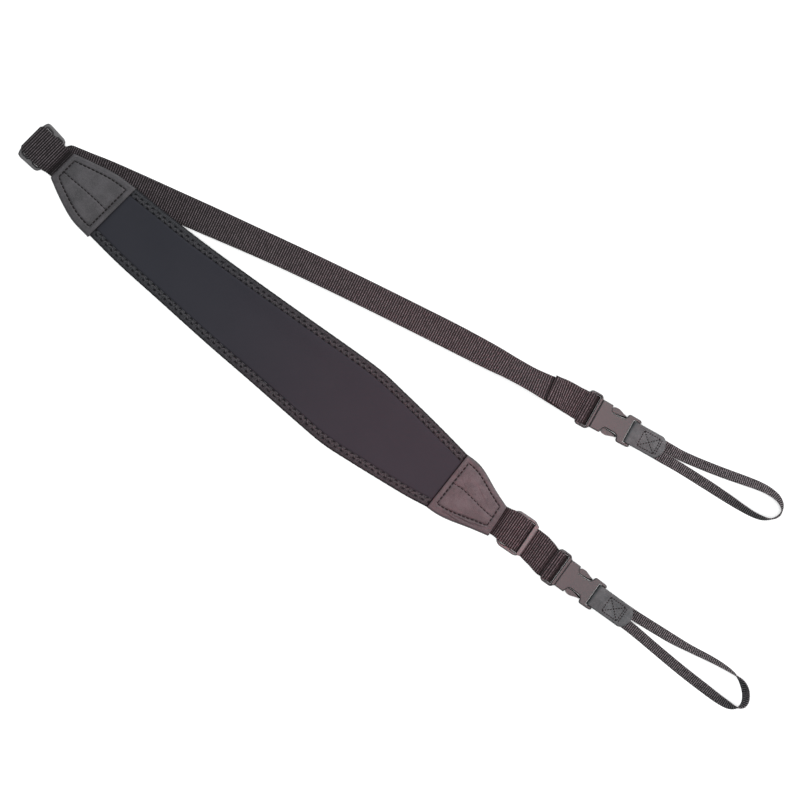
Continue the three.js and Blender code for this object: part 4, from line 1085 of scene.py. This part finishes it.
SHORT_AT_SLIDER = [
    (-40, 2.45), (-22, 2.45), (-18.6, 2.45, 0.1), (-16.8, 2.7, 0.2, 26), (-14.4, 4.1, 0.4, 26.4),
    (-11.9, 5.4, 0.6, 27.2), (-9, 5.75, 0.6, 28.2), (-5, 5.75, 0.6, 28.4), (-1.4, 5.75, 0.5, 28.2),
    (2.6, 5.6, 0.2, 27.6), (5.2, 4.7, 0.1, 27.4), (6.8, 2.6, 0, 27.4), (7.9, 1.2, 0, 27.3),
    (9.4, 0.8, -0.2, 26.8), (11.6, 0.75, -0.7, 26.6), (15.4, 1.4, -1.2, 27.2), (19.4, 2.9, -1.7, 27.7),
    (22.4, 3.8, -2.1, 28),
]
SHORT_OVER = [(-8.4, 4.3, 1.5, 28), (-5.6, 4.6, 0.9, 27.9), (-3.4, 3.7, 0.4, 27.6), (-1.9, 2.9, 0.1, 26.8),
              (-0.7, 3.7, 0, 26.4)]
SHORT_UNDER = [(0, 0.75, 0, 24.8), (-6, 0.75, 0.5, 24.8), (-12, 0.75, 1.5, 24.8)]
# Painted shade where the short strap lies in a fold or slot, as for the long strap.
SHORT_PAINTED_SHADE = [(SHORT_SLIDER, -16.6, 1.5, 1.5, 3.6), (SHORT_SLIDER, 8, 1.6, -1, 3.2),
               (LOWER_BUCKLE, -1.9, 2.1, 1.8, 4.2), (LOWER_BUCKLE, 8.2, 2.6, -1, 4.6)]

short_rows = group_rows(SHORT_SLIDER, SHORT_AT_SLIDER) + group_rows(LOWER_BUCKLE, SHORT_OVER)
short_rows += group_rows(LOWER_BUCKLE, BUCKLE_TURN, width=SLOT_WIDTH)
short_rows += group_rows(LOWER_BUCKLE, SHORT_UNDER)
finished_piece("short_webbing", band_skin(short_rows, WEB, SHORT_PAINTED_SHADE), webbing_material, "webbing",
               "short_strap")

# ------------------------------------------------------------------ leather tabs
# A strip of the same leather folded round each buckle's rear bar, its two layers closed over
# the loop's ends by a stitched box with a cross in it, and its end cut round.

TAB = {"width": 19, "thickness": 1.4, "round": 6.8, "square": 0.98}
# Along from the buckle's origin and height: each layer from its end to the bar, and the bar.
TAB_LAYERS = {"upper": (4.0, [(53.8, 4.5), (49.6, 5.6)]), "lower": (0.7, [(53.8, 0.75), (49.6, 0.95)])}
TAB_END, TAB_FLAT, TAB_CLOSED = (0, 0.7, 2.2, 4.4, 6.8), 56, 57.6
TAB_BAR = {"along": 45.3, "radius": 2.45, "height": 3.5}
TAB_TURN = (90, 112, 135, 157, 180, 203, 225, 248, 270)
# Each tab's buckle, where it ends, and where its box of stitches starts and ends.
TABS = {
    "upper": (UPPER_BUCKLE, 74.6, (53.4, 68.0)),
    "lower": (LOWER_BUCKLE, 79.1, (55.5, 70.0)),
}
TAB_STITCH = {"pitch": 2.1, "half": 6.6, "second_row": 1.6, "width": 0.9, "height": 0.45, "share": 0.76}
# The heights of its stitches: on top by place along, and underneath.
STITCH_TOP, STITCH_UNDER = ([49.6, 53.8, 57.6], [6.32, 5.22, 4.72]), 0.1


def tab_rows(group, end):
    layers = {}
    for which, (z, at_bar) in TAB_LAYERS.items():
        near_end = [(end - back, z) for back in TAB_END]
        layers[which] = [*near_end, ((end + TAB_FLAT) / 2, z), (TAB_CLOSED, z), *at_bar]
    angles, radius = np.radians(TAB_TURN), TAB_BAR["radius"]
    wrap = zip(TAB_BAR["along"] + radius * np.cos(angles), TAB_BAR["height"] + radius * np.sin(angles))
    return group_rows(group, [*layers["upper"], *wrap, *layers["lower"][::-1]], width=TAB["width"])


def tab_widths(group, end):
    """Full width, then falling away round the end."""
    def width_at(middle):
        depth = np.clip((end - off_origin(group, middle)[0]) / TAB["round"], 0, 1)
        return TAB["width"] * np.sqrt(1 - (1 - depth) ** 2 * TAB["square"])
    return width_at


def sew_tab(skin, group, box):
    """The box, its cross and a second row at its far side, above and below."""
    (first, last), half = box, TAB_STITCH["half"]
    far = last + TAB_STITCH["second_row"]
    corners = [(first, -half), (last, -half), (last, half), (first, half)]
    lines = [(corners[k], corners[(k + 1) % 4]) for k in range(4)]
    lines += [(corners[0], corners[2]), (corners[1], corners[3]), ((far, -half), (far, half))]
    for start, stop in np.array(lines):
        count = round(np.linalg.norm(stop - start) / TAB_STITCH["pitch"])
        along, across = np.linspace(start, stop, count + 1).T
        for face, level in ((1, np.interp(along, *STITCH_TOP)), (-1, np.full(len(along), STITCH_UNDER))):
            stitch_row(skin, spot_on(group, along, across, level), face, TAB_STITCH)


tab_material = leather_finish("tab_leather", (0.0125, 0.0172, 0.0188), (0.048, 0.06, 0.063),
                              TAB["width"] / 2)
tab_thread_skin = bmesh.new()
for which, (group, end, box) in TABS.items():
    tab_skin = band_skin(tab_rows(group, end), TAB, across_steps=22, width_at=tab_widths(group, end))
    finished_piece(which + "_leather_tab", tab_skin, tab_material, "leather", which + "_tab")
    sew_tab(tab_thread_skin, group, box)
finished_piece("tab_thread", tab_thread_skin, thread_material, "leather")

# ------------------------------------------------------------------ loops
# Narrow 3/8 inch webbing, both ends caught in the tab. It lies flat as it leaves the tab and
# turns up onto its edge round the far bend, where it passes round the instrument.

LOOP_WEB = {"width": 8.6, "thickness": 1.3, "pitch": 1.6, "rib": 0.22}
# It comes down to the table beyond the tab, and is a little wider while it is pressed in it.
LOOP_DOWN, LOOP_LIFT, LOOP_SPREAD = (0, 10, 21), (1.7, 0.5, 0), 0.35
# Where each loop leaves its tab, then x, y, heading and roll: out along the +Y strand and back.
LOOPS = {
    "upper": (203, [
        (178, 66.9, 2, 0), (196, 67.4, 1.5, 0), (203, 67.6, 1.5, 0), (213, 68.1, 5, -2), (225, 69.7, 10, -4),
        (240, 72.3, 11, -8), (255, 75.3, 12, -12), (270, 78.6, 11, -22), (281, 80.7, 7, -33),
        (290, 81.3, -2, -43), (297.5, 80.3, -18, -52), (302.6, 77.6, -40, -65), (305.5, 73.8, -70, -82),
        (305.9, 69.6, -100, -90), (304.2, 65.8, -125, -90), (300.6, 62.4, -145, -84),
        (295.4, 60.1, -160, -68), (288, 58.8, -172, -58), (279, 58.5, -180, -48), (264, 58.8, -181, -29),
        (245, 59.2, -181, -12), (224, 59.3, -180, -4), (213, 59.2, -179, 0), (203, 58.8, -178, 0),
        (196, 58.6, -178, 0), (178, 57.9, -178, 0)]),
    "lower": (252, [
        (226, -59.4, -2.5, 0), (245, -60, -2, 0), (252, -60.2, -1, 0), (262, -60.2, 0, -1),
        (274, -60.1, 0.5, -6), (286, -59.9, 2, -22), (296, -59.4, 4, -40), (306, -58.6, 5.5, -49),
        (316, -57.6, 5, -54), (326, -56.9, 2, -60), (335, -56.8, -2, -69), (341, -57.1, -5, -79),
        (346, -57.9, -14, -94), (351.5, -59.8, -28, -118), (356.6, -63.4, -45, -130),
        (360, -67.8, -60, -131), (361.7, -72, -80, -126), (361.6, -75.4, -103, -115),
        (359.9, -78.1, -130, -94), (356.6, -79.9, -158, -68), (351.6, -81, -175, -44),
        (342, -81, -183, -26), (328, -79.8, -185.5, -12), (305, -77.4, -186.5, -3), (278, -73.7, -188, 0),
        (262, -71.3, -188, 0), (252, -70, -185, 0), (245, -69.4, -184, 0), (226, -68.4, -182.5, 0)]),
}

loop_material = webbing_finish("narrow_webbing", LOOP_WEB["pitch"], 1.4, (0.0028, 0.0028, 0.003),
                               (0.114, 0.113, 0.12))
for which, (tab_end, table) in LOOPS.items():
    lifts = [np.interp(row[0] - tab_end, LOOP_DOWN, LOOP_LIFT) for row in table]
    rows = [table_row(LOOP_WEB, *row, LOOP_WEB["width"], lift) for row, lift in zip(table, lifts)]
    rows = [(*row[:5], row[5] + LOOP_SPREAD * min(lift, 1)) for row, lift in zip(rows, lifts)]
    loop_skin = band_skin(rows, LOOP_WEB, across_steps=6)
    finished_piece(which + "_webbing_loop", loop_skin, loop_material, "loop_webbing", which + "_loop")
